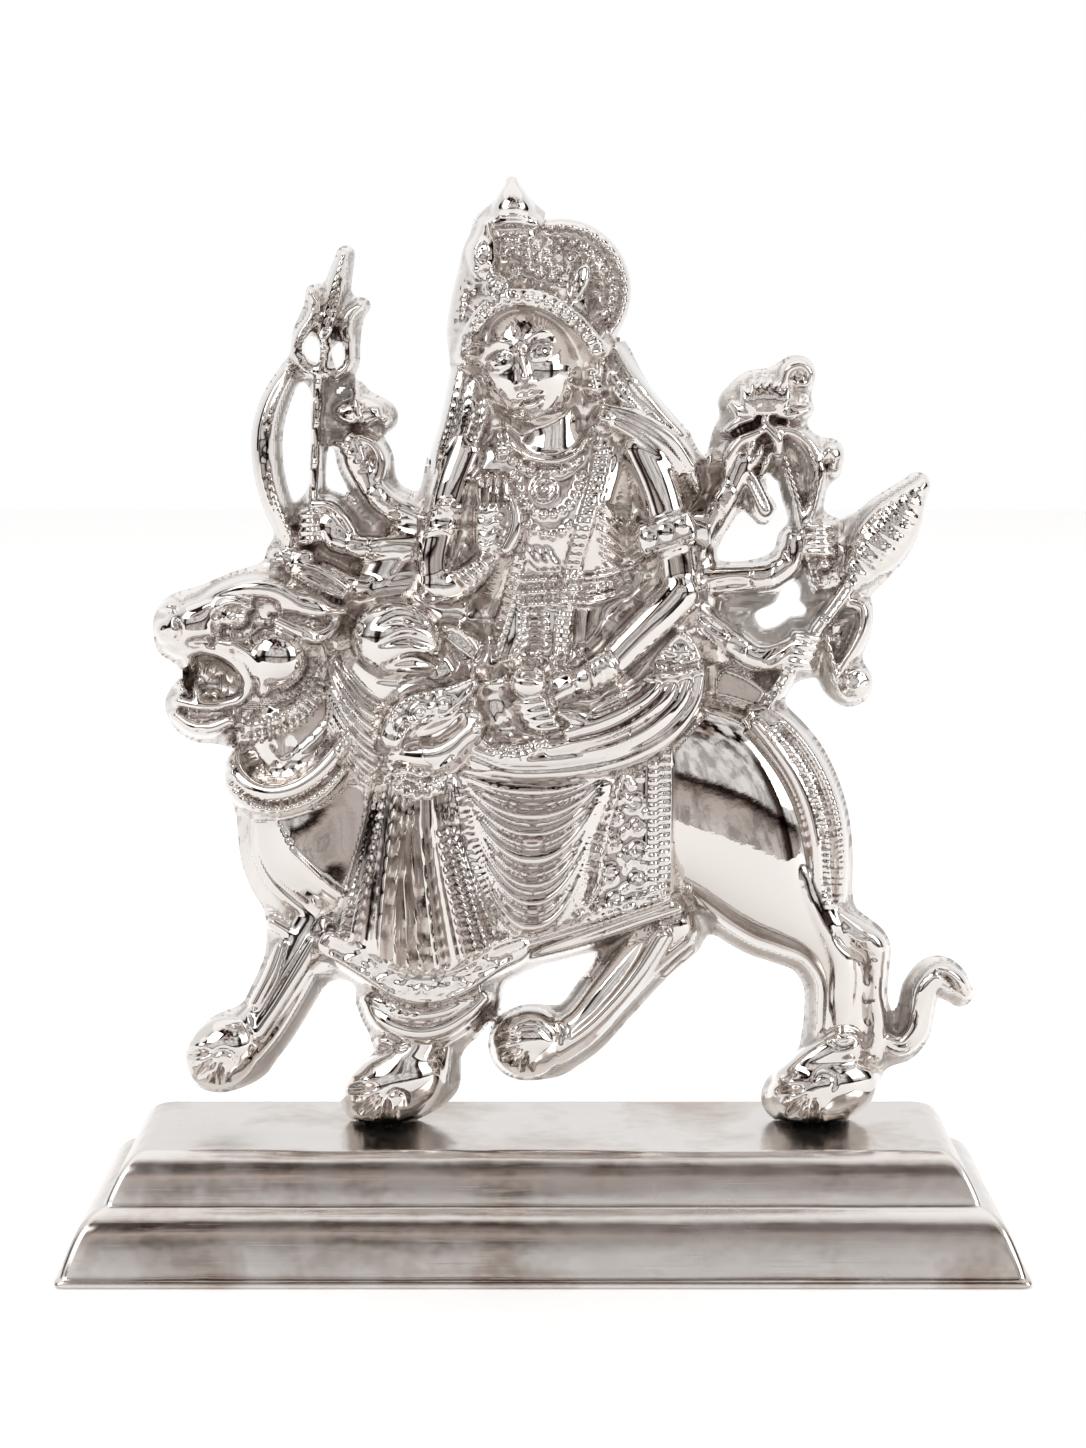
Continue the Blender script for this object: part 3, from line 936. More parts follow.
cut_out("rear_arms_with_lotus_bow_and_mace")


# Tiger's hindquarters: a big smooth haunch with the two hind legs and the tail, which is
# pressed flat along the rump in two rows of fur and comes out again below the hock.
# Polished bright, left plain but for the fur.
def film(inside):
    """The height of a soap film blown up over a region by even pressure: its Laplacian is -1 inside and it
    is zero outside. It is relaxed on grids of halving step, each started from the one before. The root of
    twice it is a half circle over a strip and a flattened hemisphere over a disc."""
    blown = np.zeros(inside[::8, ::8].shape)
    for skip, rounds in ((8, 300), (4, 150), (2, 80), (1, 40)):
        shape = inside[::skip, ::skip]
        halving = 2 if skip < 8 else 1
        rows = np.minimum(np.arange(shape.shape[0]) // halving, blown.shape[0] - 1)
        columns = np.minimum(np.arange(shape.shape[1]) // halving, blown.shape[1] - 1)
        blown = blown[np.ix_(rows, columns)] * shape
        push = (GRID_STEP * skip) ** 2
        for _ in range(rounds):
            ring = blown[:-2, 1:-1] + blown[2:, 1:-1] + blown[1:-1, :-2] + blown[1:-1, 2:]
            blown[1:-1, 1:-1] = shape[1:-1, 1:-1] * (ring + push) / 4
    return np.sqrt(2 * blown)


def cushion(outline, foot, full=1.0, most=16.0, edge_round=6.0, fillet=1.5, flange=FLANGE, tilt=(0.0, 0.0)):
    """A rounded form over a closed outline: the blown film times full, kept below most by a tanh, its edge
    rounded to edge_round and drafted down outside. tilt slopes it across and up."""
    part, inside = depth_inside(outline, 5.0)
    blown = most * np.tanh(full * film(inside > 0) / most)
    edge = np.sqrt(2 * edge_round * np.clip(inside, 0, None))
    middle = np.array(outline, float)[:, :2].mean(0)
    slant = tilt[0] * (across[part] - middle[0]) + tilt[1] * (up[part] - middle[1])
    rise = foot + np.where(inside > 0, -soft_max(-blown, -edge, 2.0) + slant, 3 * inside + slant)
    raise_to(part, rise, fillet, None if flange is None else inside + flange)


def swell(centre, radii, rise, degrees=0.0):
    """A soft broad swelling, or a hollow where rise is negative: a bell curve over an oval."""
    part = window(np.array([centre], float), max(radii) * 2.4)
    dx, dv = across[part] - centre[0], up[part] - centre[1]
    turn = radians(degrees)
    a, b = (dx * cos(turn) + dv * sin(turn)) / radii[0], (dv * cos(turn) - dx * sin(turn)) / radii[1]
    height[part] += rise * np.exp(-(a**2 + b**2)) * (height[part] > NOWHERE / 2)


def strokes(points, pitch, long, half, rise, lean=90.0, sweep=0.0, closed=False):
    """A row of short tapered strokes across a smooth line, each turned by lean from the line's direction and
    bent sideways by sweep, as in cut fur, feathers or a fringe."""
    for x, v, turn in spaced(points, pitch, closed):
        a = radians(turn + lean)
        dx, dv = cos(a) * long / 2, sin(a) * long / 2
        bend = (-sin(a) * sweep, cos(a) * sweep)
        lay([(x - dx, v - dv), (x + bend[0], v + bend[1]), (x + dx, v + dv)], half, rise, taper=long * 0.35)


def toes(centre, spread, first, last, long, half):
    """Toes fanned out from a paw's middle: a rounded end and a small claw for each of four, and a deep
    groove between each and the next."""
    for i, turn in enumerate(np.radians(np.linspace(first, last, 7))):
        way = np.array([cos(turn), sin(turn)])
        near, far = centre + way * spread * 0.5, centre + way * (spread + long)
        if i % 2:
            lay([tuple(near), tuple(centre + way * spread), tuple(far)], half * 0.36, -2.0, power=1.4,
                taper=1.5)
        else:
            swell(tuple(centre + way * (spread + long * 0.2)), (half, half * 0.8), 1.5, np.degrees(turn))
            lay([tuple(centre + way * (spread + long * 0.45)), tuple(centre + way * (spread + long))], 0.6,
                1.3, taper=1.0)


# Far hind leg, low behind the belly.
limb([(27, 45, 6.5, 7.5, 1), (21.5, 39, 5.6, 8.5, 1), (14.5, 30.5, 4.9, 9, 1), (8, 23, 4.6, 9, 1),
      (3, 20, 5, 9, 1)])
limb([(25.5, 43, 2.0, 10.5, 6), (21.3, 36, 1.9, 10.8, 6), (15.5, 28.5, 1.8, 10.8, 6), (9, 22, 1.8, 10.3, 6),
      (4, 18.5, 1.6, 9.5, 5)], fillet=1.5, flange=None)
ball((-2.3, 20.2), (8.3, 7.6), 12.5, 1, degrees=20, flange=0.6)
toes(np.array([-2.0, 20.5]), 4.6, 150, 275, 3.2, 2.0)
lay([(-6.5, 21), (-4, 23.3), (0, 23.2), (2.5, 20.5)], 0.5, -0.8, taper=1.5)
lay([(3.2, 25.5), (5.2, 23), (5.6, 20)], 0.6, 0.9, taper=1.0)

# Haunch, thigh and the near hind leg down to the paw, in one swelling form.
cushion([(22, 94), (35, 93), (44, 89.8), (51.5, 81.4), (56.4, 71.5), (58.6, 61), (60, 53), (63, 48.5),
         (67.6, 44.6), (70.6, 40), (70.8, 33), (70.4, 26), (71, 19), (69, 12), (61, 9), (56.5, 13),
         (57.6, 20), (58.4, 27), (58, 33), (55.5, 37), (50, 39.3), (45, 41), (40, 43.8), (35, 47.3),
         (30, 50.8), (22, 55), (20, 72)], 2.0, full=1.0, most=19.0, edge_round=24.0, fillet=2.0)
lay([(55, 58), (60.5, 46), (63.8, 37), (63.8, 29), (63.2, 21)], 2.6, 1.3, taper=8)
# Tendon along the back of the leg, the hock's point and the dew claw's fold.
limb([(62.5, 47.5, 1.5, 9, 2), (66.5, 43.6, 2.6, 9.5, 2), (70.3, 40.8, 2.4, 9.5, 2), (70.6, 36.5, 1.9, 9, 2),
      (70.3, 31, 1.8, 9, 2), (71.3, 24.5, 1.8, 8.5, 2), (70.5, 18, 2.2, 8.5, 2)], fillet=1.0)
lay([(61.5, 45.5), (64, 41.2), (68, 38.6), (69.3, 35), (69.2, 27)], 0.9, -1.3, taper=3)
lay([(64, 44.3), (67, 42.2), (69.5, 42)], 0.5, 0.6, taper=1)
lay([(69, 39.2), (71, 38)], 0.5, -0.6, taper=0.6)
ball((60, 10.0), (11.8, 7.6), 15.5, 2, degrees=12, flange=0.6)
limb([(64, 19, 4.5, 13.5, 4), (58, 15.5, 4, 13.5, 4), (52.5, 12, 3, 11.5, 3)], fillet=1.5, flange=None)
toes(np.array([58.5, 10.6]), 5.0, 168, 285, 4.2, 2.4)
lay([(57.5, 11.5), (59.5, 13.6), (62.3, 12.4), (62, 9.2)], 0.5, -0.8, taper=1.5)
lay([(54.5, 18.5), (58, 21), (60.5, 21.5), (63.5, 19.5), (67, 20.5)], 0.9, -1.0, taper=2)
# Crease along the belly, under the haunch.
lay([(27, 52.2), (30, 51), (35, 47.2), (40, 43.9), (45, 41.4), (50, 39.6), (54.5, 37.8), (57.5, 34),
     (58.3, 28)], 0.9, -1.1, taper=3)

# Tail: along the rump with its fur in two rows, then from below the hock up to its tuft.
limb([(45, 89.5, 2.6, 10, 2), (49.6, 85.2, 3.2, 11, 2), (54, 79.6, 3.5, 11, 2), (57.2, 73, 3.5, 11, 2),
      (59.4, 65, 3.2, 10.5, 2), (60.2, 57, 2.8, 10, 2), (61.2, 50, 2.0, 9, 2)], fillet=1.0)
limb([(46.5, 90.6, 1.6, 9.6, 1), (51, 87, 2.0, 10.6, 1), (55.6, 81.6, 2.1, 11, 1), (58.9, 75.6, 2.0, 11, 1),
      (61.2, 69, 1.9, 10.6, 1), (62.3, 62, 1.8, 10.2, 1), (62.6, 56, 1.7, 9.6, 1),
      (62.6, 50.5, 1.4, 8.6, 1)], fillet=0.7)
limb([(45, 88, 1.2, 12.5, 7), (49, 83.2, 1.5, 12.8, 7), (53.3, 76.8, 1.6, 12.5, 7), (56.3, 69.5, 1.6, 12, 6),
      (57.9, 62, 1.5, 11.5, 6), (58.4, 55, 1.4, 11, 6), (59.8, 49.5, 1.3, 10.5, 6), (62.2, 45, 1.1, 10, 6)],
     fillet=1.0, flange=None)
lay([(47.5, 87), (51.5, 82), (55.5, 76), (58.3, 69), (59.6, 62), (59.8, 55), (60.6, 50)], 0.35, -0.8)
strokes([(48.2, 86.6), (52.6, 81.9), (56.1, 76.2), (58.6, 70), (60, 63), (60.3, 57), (60.9, 50)], 1.25, 2.3,
        0.6, 1.2, lean=70)
lay([(49.6, 88), (54.1, 83), (57.7, 77.2), (60.2, 70.8), (61.6, 63.6), (61.9, 57), (62.2, 50)], 0.3, -0.9)
strokes([(50.8, 88.6), (55.6, 83.4), (59.3, 77.2), (61.8, 70.4), (63, 63.4), (63.3, 57), (63.2, 50.5)],
        1.15, 2.1, 0.5, 1.1, lean=112)
limb([(69, 24, 1.6, 7, 1), (72.5, 21, 2.0, 7, 1), (76.5, 19.6, 2.1, 7.5, 1), (79.3, 22.2, 2.1, 8, 1),
      (80.4, 27, 2.1, 8, 1), (81.6, 32, 2.2, 8.5, 1), (84.6, 34.6, 2.4, 8.5, 1), (87.6, 33, 2.2, 8, 1),
      (89.7, 30.8, 1.0, 6.5, 1)], fillet=0.8)
lay([(73, 20.4), (76.6, 18.9), (80, 21.8), (81.3, 27), (82.6, 31.5)], 0.4, -0.7, taper=2)
for i in range(6):
    lay([(82.6 + 0.5 * i, 35.6 - 0.15 * i), (85.6 + 0.35 * i, 34.6 - 0.55 * i),
         (89.2 - 0.3 * i, 31.2 - 0.45 * i)], 0.35, -0.8, taper=1.5)
cut_out("tiger_hindquarters")


# Tiger's forequarters: chest and shoulder, the raised far foreleg and the standing
# near one, and the neck with a plain rolled collar above a string of round beads. One
# smooth skin with the rest, drafted at its edge.
limb([(-46, 47, 5.5, 7.5, 1), (-50.5, 39.5, 5.4, 8.5, 1), (-54.8, 31, 4.9, 9, 1), (-59, 24, 4.7, 9.5, 1),
      (-63.5, 19.5, 5.5, 9.5, 1)])
limb([(-47.5, 41.5, 1.8, 10.5, 6), (-51.5, 34.5, 2.0, 11, 6), (-55.8, 27.5, 1.8, 11, 6),
      (-59.5, 22, 1.8, 10.8, 5)], fillet=1.5, flange=None)
limb([(-54.5, 41, 1.0, 8.5, 4), (-56.8, 34.5, 1.2, 9.5, 5), (-60, 28.2, 1.2, 9.5, 5)], fillet=0.8,
     flange=None)
ball((-67.2, 18), (9.0, 7.4), 12.5, 1, degrees=38, flange=0.6)
toes(np.array([-67.2, 18.2]), 4.8, 165, 285, 3.4, 2.1)
lay([(-69.5, 17), (-67.5, 18.4), (-65, 17.6), (-64.4, 15)], 0.5, -0.8, taper=1.5)
lay([(-62.5, 27.2), (-61.6, 25), (-60.8, 22.5)], 0.7, 1.0, taper=1.2)
web([(-58, 47), (-56, 38), (-46, 34), (-38, 36), (-40, 48)])

web([(-64, 80), (-64.2, 68), (-62.6, 56), (-58.2, 48.2), (-50.5, 42), (-41, 37), (-30, 40), (-40, 60),
     (-50, 80)])
cushion([(-59.5, 78), (-60.3, 70), (-59.9, 62), (-57.6, 56.5), (-53, 51.5), (-47.5, 47), (-42, 43),
         (-34, 38), (-22, 38), (-12, 46), (-12, 62), (-20, 76), (-34, 84), (-48, 85)], 2.0, full=1.0,
        most=15.5, edge_round=8.0, fillet=3.0)
swell((-51, 62), (7, 12), 1.6, degrees=-18)
swell((-44, 52), (5, 6), 1.0)
limb([(-59.3, 68, 1.3, 6.5, 2.5), (-59.2, 61, 1.2, 6.5, 2.5), (-56.5, 55, 1.3, 7, 2.5),
      (-50.5, 49, 1.2, 7, 2.5), (-44.5, 44.5, 1.0, 6.5, 2.5)], fillet=1.2, flange=None)
limb([(-56, 45.8, 1.3, 6, 1.5), (-50, 42, 1.6, 7.5, 1.5), (-44, 38.8, 1.6, 8, 1.5),
      (-38.5, 36.5, 1.4, 8, 1.5)], fillet=0.8, flange=None)

# Near foreleg under the skirt's hem, with its paw flat on the plinth.
limb([(-27, 38, 7.5, 12, 2), (-26.6, 28, 6.8, 12, 2), (-25.6, 20, 5.6, 11.5, 2), (-26, 14, 6.2, 11.5, 2)],
     fillet=2.0)
limb([(-20.3, 30, 1.6, 8, 2), (-20.6, 20, 1.5, 8, 2), (-21.5, 12, 1.6, 8, 2)], fillet=1.0)
ball((-31.0, 10.6), (11.4, 7.8), 15.5, 2, degrees=22, flange=0.6)
limb([(-25.5, 20, 4, 13, 4), (-29, 15.5, 4.4, 13.8, 4), (-34, 13.5, 3.6, 12.5, 3)], fillet=1.5, flange=None)
toes(np.array([-32.0, 10.8]), 5.0, 165, 285, 4.2, 2.4)
lay([(-33, 7.5), (-31, 9.6), (-28.6, 8.9), (-28.3, 6)], 0.5, -0.8, taper=1.5)
lay([(-31.5, 19.6), (-29.6, 18.4), (-27.6, 19.6)], 0.5, -0.9, taper=1.0)

# Neck, collar and beads.
cushion([(-62.8, 88), (-62.6, 80), (-59, 74.5), (-51, 74), (-42, 79.5), (-36, 90), (-38, 100), (-50, 100)],
        2.0, full=1.15, most=14.5, edge_round=7.0, fillet=2.0)
for i in range(3):
    shift = 0.55 * i
    lay([(-60.5 + 4.2 * i, 84.5 + shift), (-60 + 4.2 * i, 80 + shift), (-58.5 + 4.2 * i, 76.3 + shift)],
        1.2, -0.45, taper=2)
limb([(-63.9, 82, 1.5, 8, 2), (-63.2, 78, 1.7, 11, 4), (-60.5, 74.9, 1.8, 14, 7),
      (-56.5, 73.5, 1.9, 15.8, 9), (-51.5, 74.3, 1.9, 16.6, 10), (-47, 77, 1.9, 16.8, 10),
      (-42.8, 81.5, 1.7, 16.3, 10), (-40, 85.5, 1.3, 15, 9)], fillet=0.5, flange=None)
lay([(-64.7, 80), (-63.6, 76.2), (-60.3, 73.1), (-56.4, 71.8), (-51, 72.6), (-46.4, 75.2), (-42, 79.8)],
    0.35, 0.5)
limb([(-65, 79, 1.0, 6, 2), (-64.3, 74.8, 1.2, 9.5, 5), (-61, 71.4, 1.2, 12.5, 8), (-56.8, 70, 1.2, 14, 10),
      (-50.5, 71, 1.2, 15.2, 11), (-45.4, 73.9, 1.2, 15.8, 12), (-41.2, 78.2, 1.1, 15.5, 11)], fillet=0.3,
     flange=0.8)
beads([(-65, 79.4), (-64.3, 74.8), (-61, 71.3), (-56.8, 69.8), (-50.5, 70.8), (-45.2, 73.7), (-41, 78.2)],
      radius=0.95, pitch=2.05, rise=1.3)
cut_out("tiger_forequarters")


# Tiger's head, turned to the side and roaring: open jaws with a hollow mouth, a lipped
# muzzle, a ringed eye under a heavy brow, one pointed ear and a ruff of short cut
# strokes. The drafted edge is widest over the brow.
web([(-80.3, 109), (-78.5, 113.7), (-72.5, 116.2), (-65, 119), (-59, 120.6), (-52, 121), (-46, 118),
     (-46, 110), (-70, 108)])
web([(-79, 105.5), (-77, 102), (-75.6, 98.8), (-77, 96), (-78, 92.5), (-74, 87), (-66, 89), (-58, 97),
     (-66, 106)])
cushion([(-79.2, 106.6), (-78.4, 110.6), (-75.6, 112.6), (-69.5, 114.2), (-63, 117.4), (-58, 118.4),
         (-53.5, 118.4), (-49, 116.6), (-44.6, 113), (-43.0, 106), (-43.8, 99), (-47, 93.2), (-51.5, 88.6),
         (-57, 86.2), (-63, 85.6), (-65, 88.6), (-60.6, 92), (-59.2, 96), (-61.5, 100.4), (-66, 103.4),
         (-71, 104), (-76, 103.4), (-78.8, 104.4)], 3.0, full=1.35, most=15.0, edge_round=6.0, fillet=1.5)
cushion([(-76.6, 92.6), (-74, 94.6), (-70, 92.8), (-64.5, 93), (-60, 95.5), (-57.5, 92), (-60.5, 87),
         (-67, 85.9), (-72.5, 86.4), (-76, 89.2)], 3.0, full=1.4, most=10.5, edge_round=5.0, fillet=1.0)
# Muzzle: one big smooth form with the nose ball at its tip, a nostril knob and two creases back from it.
ball((-71.8, 108.4), (6.6, 4.9), 17.4, 6, degrees=8, fillet=1.5, flange=None)
limb([(-72, 110.4, 3.0, 16.5, 6), (-67, 111.6, 3.2, 17.4, 8), (-62, 113.4, 3.2, 18, 9)], fillet=2.0,
     flange=None)
ball((-77.4, 107.4), (2.0, 2.4), 14.2, 6, degrees=12, fillet=0.3, flange=None)
boss((-77.9, 106.4), (0.8, 0.6), -1.4)
ball((-76.4, 112.4), (1.5, 1.1), 13.6, 7, fillet=0.3, flange=None)
lay([(-75.6, 110.4), (-74.8, 107.4), (-75.4, 105.0)], 0.7, -1.3, taper=1)
lay([(-73.6, 105.0), (-69.6, 105.6), (-66.0, 105.2), (-63.2, 103.6)], 0.8, -1.3, taper=2)
lay([(-66.4, 112.8), (-67.2, 109.4), (-66.8, 106.2)], 0.9, -0.9, taper=2)
# Lips all round the mouth, the fold behind them and the jaw's lower roll.
limb([(-77.0, 104.2, 0.9, 10, 4), (-74.5, 103.2, 1.1, 13, 6), (-69.3, 103.8, 1.2, 14.5, 6),
      (-65.2, 102.4, 1.3, 15, 7), (-62.2, 99.8, 1.3, 14.6, 6), (-60.8, 96.4, 1.2, 13.4, 6),
      (-62.0, 93.8, 1.2, 12.4, 5), (-66, 92.2, 1.2, 12.0, 4), (-71.0, 92.0, 1.2, 11.8, 4),
      (-75, 92.8, 1.1, 10.4, 3)], fillet=0.3, flange=None)
limb([(-66.4, 105.0, 1.1, 16, 8), (-61.8, 103.2, 1.5, 17, 9), (-58.6, 99.2, 1.6, 16.5, 9),
      (-57.6, 95.2, 1.4, 15, 8)], fillet=0.5, flange=None)
lay([(-64.6, 104), (-60.6, 101.2), (-59.0, 97.4), (-59.2, 94)], 0.6, -1.3, taper=1.5)
limb([(-75.6, 89.8, 1.1, 9, 3), (-72.6, 87.6, 1.4, 11, 4), (-68.6, 87.2, 1.5, 12, 5),
      (-64.6, 88.8, 1.2, 12.4, 6)], fillet=0.4, flange=None)
lay([(-76.0, 91.2), (-72.2, 89.9), (-67.8, 90.0), (-63.6, 91.8)], 0.6, -1.2, taper=1.5)
boss((-71, 86.2), (1.0, 0.6), -0.8)
# Hollow of the mouth, with the fangs and the small lower teeth.
swell((-68.4, 97.8), (5.4, 3.8), -3.0, degrees=-12)
limb([(-73.0, 102.6, 1.2, 12, 5), (-72.8, 100.8, 1.0, 11, 4), (-72.5, 99.4, 0.4, 8, 3)], fillet=0.2,
     flange=None)
limb([(-71.3, 93.2, 1.0, 11, 4), (-71.6, 95.4, 0.8, 10, 4), (-71.8, 96.8, 0.4, 7.5, 3)], fillet=0.2,
     flange=None)
for x, v in ((-75.2, 98.4), (-74.9, 96.6), (-74.2, 95.0), (-69.2, 94.4), (-67.4, 94.4)):
    ball((x, v), (0.95, 0.85), 9.0, 3, fillet=0.2, flange=None)
# Cheek, brow and eye: the ball of the eye stands in a socket between a heavy forehead roll and the muzzle.
ball((-55.0, 101.8), (7.4, 7.2), 18.6, 9, degrees=-35, fillet=2.0, flange=None)
lay([(-49.4, 107.0), (-47.8, 102.4), (-49.2, 96.8), (-53.4, 93.2), (-57.6, 92.6)], 1.1, -1.3, taper=2.5)
limb([(-69.6, 113.4, 1.0, 14, 7), (-65.0, 115.2, 1.6, 17, 9), (-60.4, 116.2, 2.0, 18.6, 10),
      (-55.5, 116.0, 2.2, 19.0, 10), (-50.5, 113.4, 2.1, 18.4, 10), (-46.6, 111.4, 1.6, 17, 9)], fillet=0.8,
     flange=None)
swell((-63.4, 110.4), (4.6, 3.4), -2.4, degrees=-8)
ball((-63.6, 110.4), (3.3, 2.5), 18.2, 12.5, degrees=-10, fillet=0.2, flange=None)
lay([(-67.4, 110.8), (-66.4, 108.4), (-63.4, 107.2), (-60.2, 107.9), (-57.6, 109.4)], 0.75, 1.6, taper=1)
lay([(-67.4, 111.6), (-65.4, 113.4), (-62.2, 113.3), (-59.4, 111.2)], 0.8, 1.7, taper=1)
lay([(-67.2, 106.8), (-63.4, 105.4), (-58.8, 106.4)], 0.55, 0.9, taper=1.5)
boss((-63.9, 110.5), (1.5, 1.5), 0.9)
boss((-63.9, 110.5), (0.6, 0.6), -1.3)
for i in range(5):
    lay([(-60.4 + 1.5 * i, 114.2 - 0.3 * i), (-59.4 + 1.5 * i, 111.8 - 0.5 * i),
         (-57.6 + 1.4 * i, 109.2 - 0.6 * i)], 0.55, 1.1, taper=1)
# Ear, laid back, with its rim and inner furrows.
limb([(-52.5, 113.6, 2.6, 18, 11), (-48, 112.4, 3.0, 18.4, 10), (-44, 111.4, 2.4, 17, 8),
      (-40.8, 111.8, 0.9, 13.5, 5)], fillet=0.5, flange=1.2)
limb([(-54.5, 109.6, 1.2, 17, 10), (-50, 107.6, 1.6, 17.6, 9), (-46.2, 106.4, 1.5, 16.5, 7),
      (-43.0, 108.4, 1.1, 14.6, 6), (-40.8, 111.2, 0.7, 13, 5)], fillet=0.3, flange=None)
lay([(-53, 111.2), (-49, 109.8), (-45.4, 109.4), (-42.0, 110.8)], 1.1, -2.2, taper=2)
for i in range(4):
    lay([(-49.6 + 1.7 * i, 106.8 - 0.3 * i), (-47.8 + 1.5 * i, 104.6 - 0.2 * i),
         (-45.8 + 1.0 * i, 103.2 + 0.2 * i)], 0.55, 1.0, taper=1)
# Ruff: two overlapping rows of short cut strokes from the ear round under the jaw.
for x_in, v_in, rise in ((0.0, 0.0, 1.5), (2.3, 2.2, 1.2)):
    strokes([(-45.4 - x_in, 101.4), (-45.9 - x_in, 95.6 + 0.2 * v_in),
             (-48.8 - 0.8 * x_in, 90.6 + 0.6 * v_in), (-53.6 - 0.4 * x_in, 87.2 + v_in),
             (-59.2, 85.4 + 1.1 * v_in), (-64.4, 84.9 + v_in)], 1.6, 3.1, 0.62, rise, lean=78, sweep=0.3)
cut_out("tiger_head")


# Saddle cloth over the tiger's flank: a stiff embroidered panel between the skirt and
# the haunch, with a double row of pearls down its right edge, a corded hem below and a
# field of curling tendrils, all cast in the skin.
def scroll(centre, radius, start, turns, half=0.42, rise=0.85):
    """A tendril: a ridge along a spiral whose radius shrinks evenly from radius to a tenth of it over the
    given turns, positive to the left, beginning at start degrees."""
    share = np.linspace(0, 1, max(6, int(abs(turns) * 14)))
    a = np.radians(start) + 2 * pi * turns * share
    r = radius * (1 - 0.9 * share)
    lay(np.column_stack([centre[0] + r * np.cos(a), centre[1] + r * np.sin(a)]), half, rise, taper=0.5)


web([(30, 86), (30, 50), (20, 45), (10, 41.5), (2, 38.8), (-8, 36), (-14, 44), (0, 60), (-10, 84), (10, 92)])
slab([(27.5, 86), (27.4, 74), (27.5, 60), (27.8, 50.6), (24, 48.6), (18, 46.4), (10, 43.6), (2, 41.2),
      (-6, 38.6), (-14, 40), (-14, 60), (-8, 76), (8, 84)], 14.8, edge_round=1.6, fillet=0.5, flange=0.5,
     tilt=(-0.05, -0.02))
# Hem: a plain rolled fold, above it a band between cords with a row of beads.
limb([(29, 49.0, 1.2, 12.0, 5), (22, 46.7, 1.3, 13.4, 6), (15, 44.2, 1.3, 13.8, 6), (8, 41.9, 1.3, 13.8, 6),
      (0, 39.6, 1.2, 13.2, 6), (-8, 37.4, 1.0, 12, 6)], fillet=0.4, flange=1.4)
hem = [(27.4, 50.9), (23, 49.4), (17, 47.3), (10, 45.0), (3, 42.8), (-4, 41.0), (-10, 40.6)]
lay(hem, 0.55, 1.0)
beads([(x, v + 1.5) for x, v in hem], radius=0.62, pitch=1.7, rise=0.9)
lay([(x, v + 2.8) for x, v in hem], 0.45, 0.8)
# Right edge: cord, two rows of pearls and a plain stripe.
lay([(27.3, 84), (27.2, 68), (27.5, 51.5)], 0.5, 1.1)
lay([(22.3, 84), (22.2, 68), (22.5, 53)], 0.42, 0.8)
beads([(25.9, 83.5), (25.8, 68), (26.1, 52)], radius=0.78, pitch=1.75, rise=1.15)
beads([(23.8, 83), (23.7, 68), (24.0, 53)], radius=0.68, pitch=1.75, rise=1.0)
# Field: tendrils of several sizes, with leaves and seed pearls between them.
for centre, radius, start, turns in (
    ((19.8, 71.6), 2.0, 200, 1.5), ((20.2, 61.2), 2.4, 160, 1.7), ((20.3, 55.2), 1.9, 10, -1.4),
    ((16.0, 68.2), 1.5, 60, 1.2), ((15.6, 62.6), 1.6, 240, -1.3), ((14.8, 56.0), 2.0, 60, 1.5),
    ((16.0, 50.8), 1.7, 250, -1.3), ((11.4, 49.0), 1.7, 60, 1.3), ((7.6, 47.2), 1.4, 200, -1.2),
    ((12.4, 60.2), 1.1, 200, -1.1), ((20.6, 66.2), 1.5, 90, 1.2),
):
    scroll(centre, radius, start, turns)
for centre, turn in (((17.6, 65.2), 60), ((17.4, 59.4), -50), ((17.8, 53.2), 40), ((17.8, 72.6), -70),
                     ((18.2, 58.0), 80), ((21.0, 51.4), 10), ((12.6, 53.4), 40), ((18.4, 76.4), -60)):
    boss(centre, (1.5, 0.55), 0.9, turn)
for spot in ((18.2, 78.6), (20.6, 79.4), (20.8, 76.8), (19.2, 75.0), (16.6, 74.6), (16.2, 72.0),
             (14.8, 70.2), (14.2, 65.4), (13.8, 63.2), (21.8, 69.2), (12.9, 57.6), (21.2, 58.4),
             (11.2, 52.0), (18.8, 49.2), (9.4, 49.8)):
    boss(spot, (0.7, 0.7), 0.95)
cut_out("embroidered_saddle_cloth")


# Skirt: a fan of knife pleats hanging from the anklet, and beside it a deep swag of
# curved folds, over an embroidered hem with rosettes and one rolled fold below. Thin
# cloth rendered in silver, sharp in its creases.
def folds(outline, phase, rise, sharp=0.6, fade=1.5, edge=None):
    """Folds over a closed outline, one for each whole step of phase, added as the sine to the power sharp,
    or where edge is given as slopes that climb up to that share of a step and drop over the rest."""
    part, inside = depth_inside(outline, fade + 1.0)
    turn = phase[part] % 1.0
    if edge is None:
        shape = np.abs(np.sin(pi * turn)) ** sharp
    else:
        shape = np.minimum(turn / edge, (1 - turn) / (1 - edge)) ** sharp
    amount = rise[part] if isinstance(rise, np.ndarray) else rise
    height[part] += amount * shape * np.clip(inside / fade, 0, 1) ** 0.6 * (height[part] > NOWHERE / 2)


def rosette(centre, radius, rise, petals=6, degrees=0.0):
    """A small flower: round petals in a ring about a raised eye."""
    for i in range(petals):
        a = radians(degrees + 360 * i / petals)
        spot = (centre[0] + cos(a) * radius * 0.62, centre[1] + sin(a) * radius * 0.62)
        boss(spot, (radius * 0.40, radius * 0.30), rise * 0.8, degrees + 360 * i / petals)
    boss(centre, (radius * 0.30, radius * 0.30), rise)


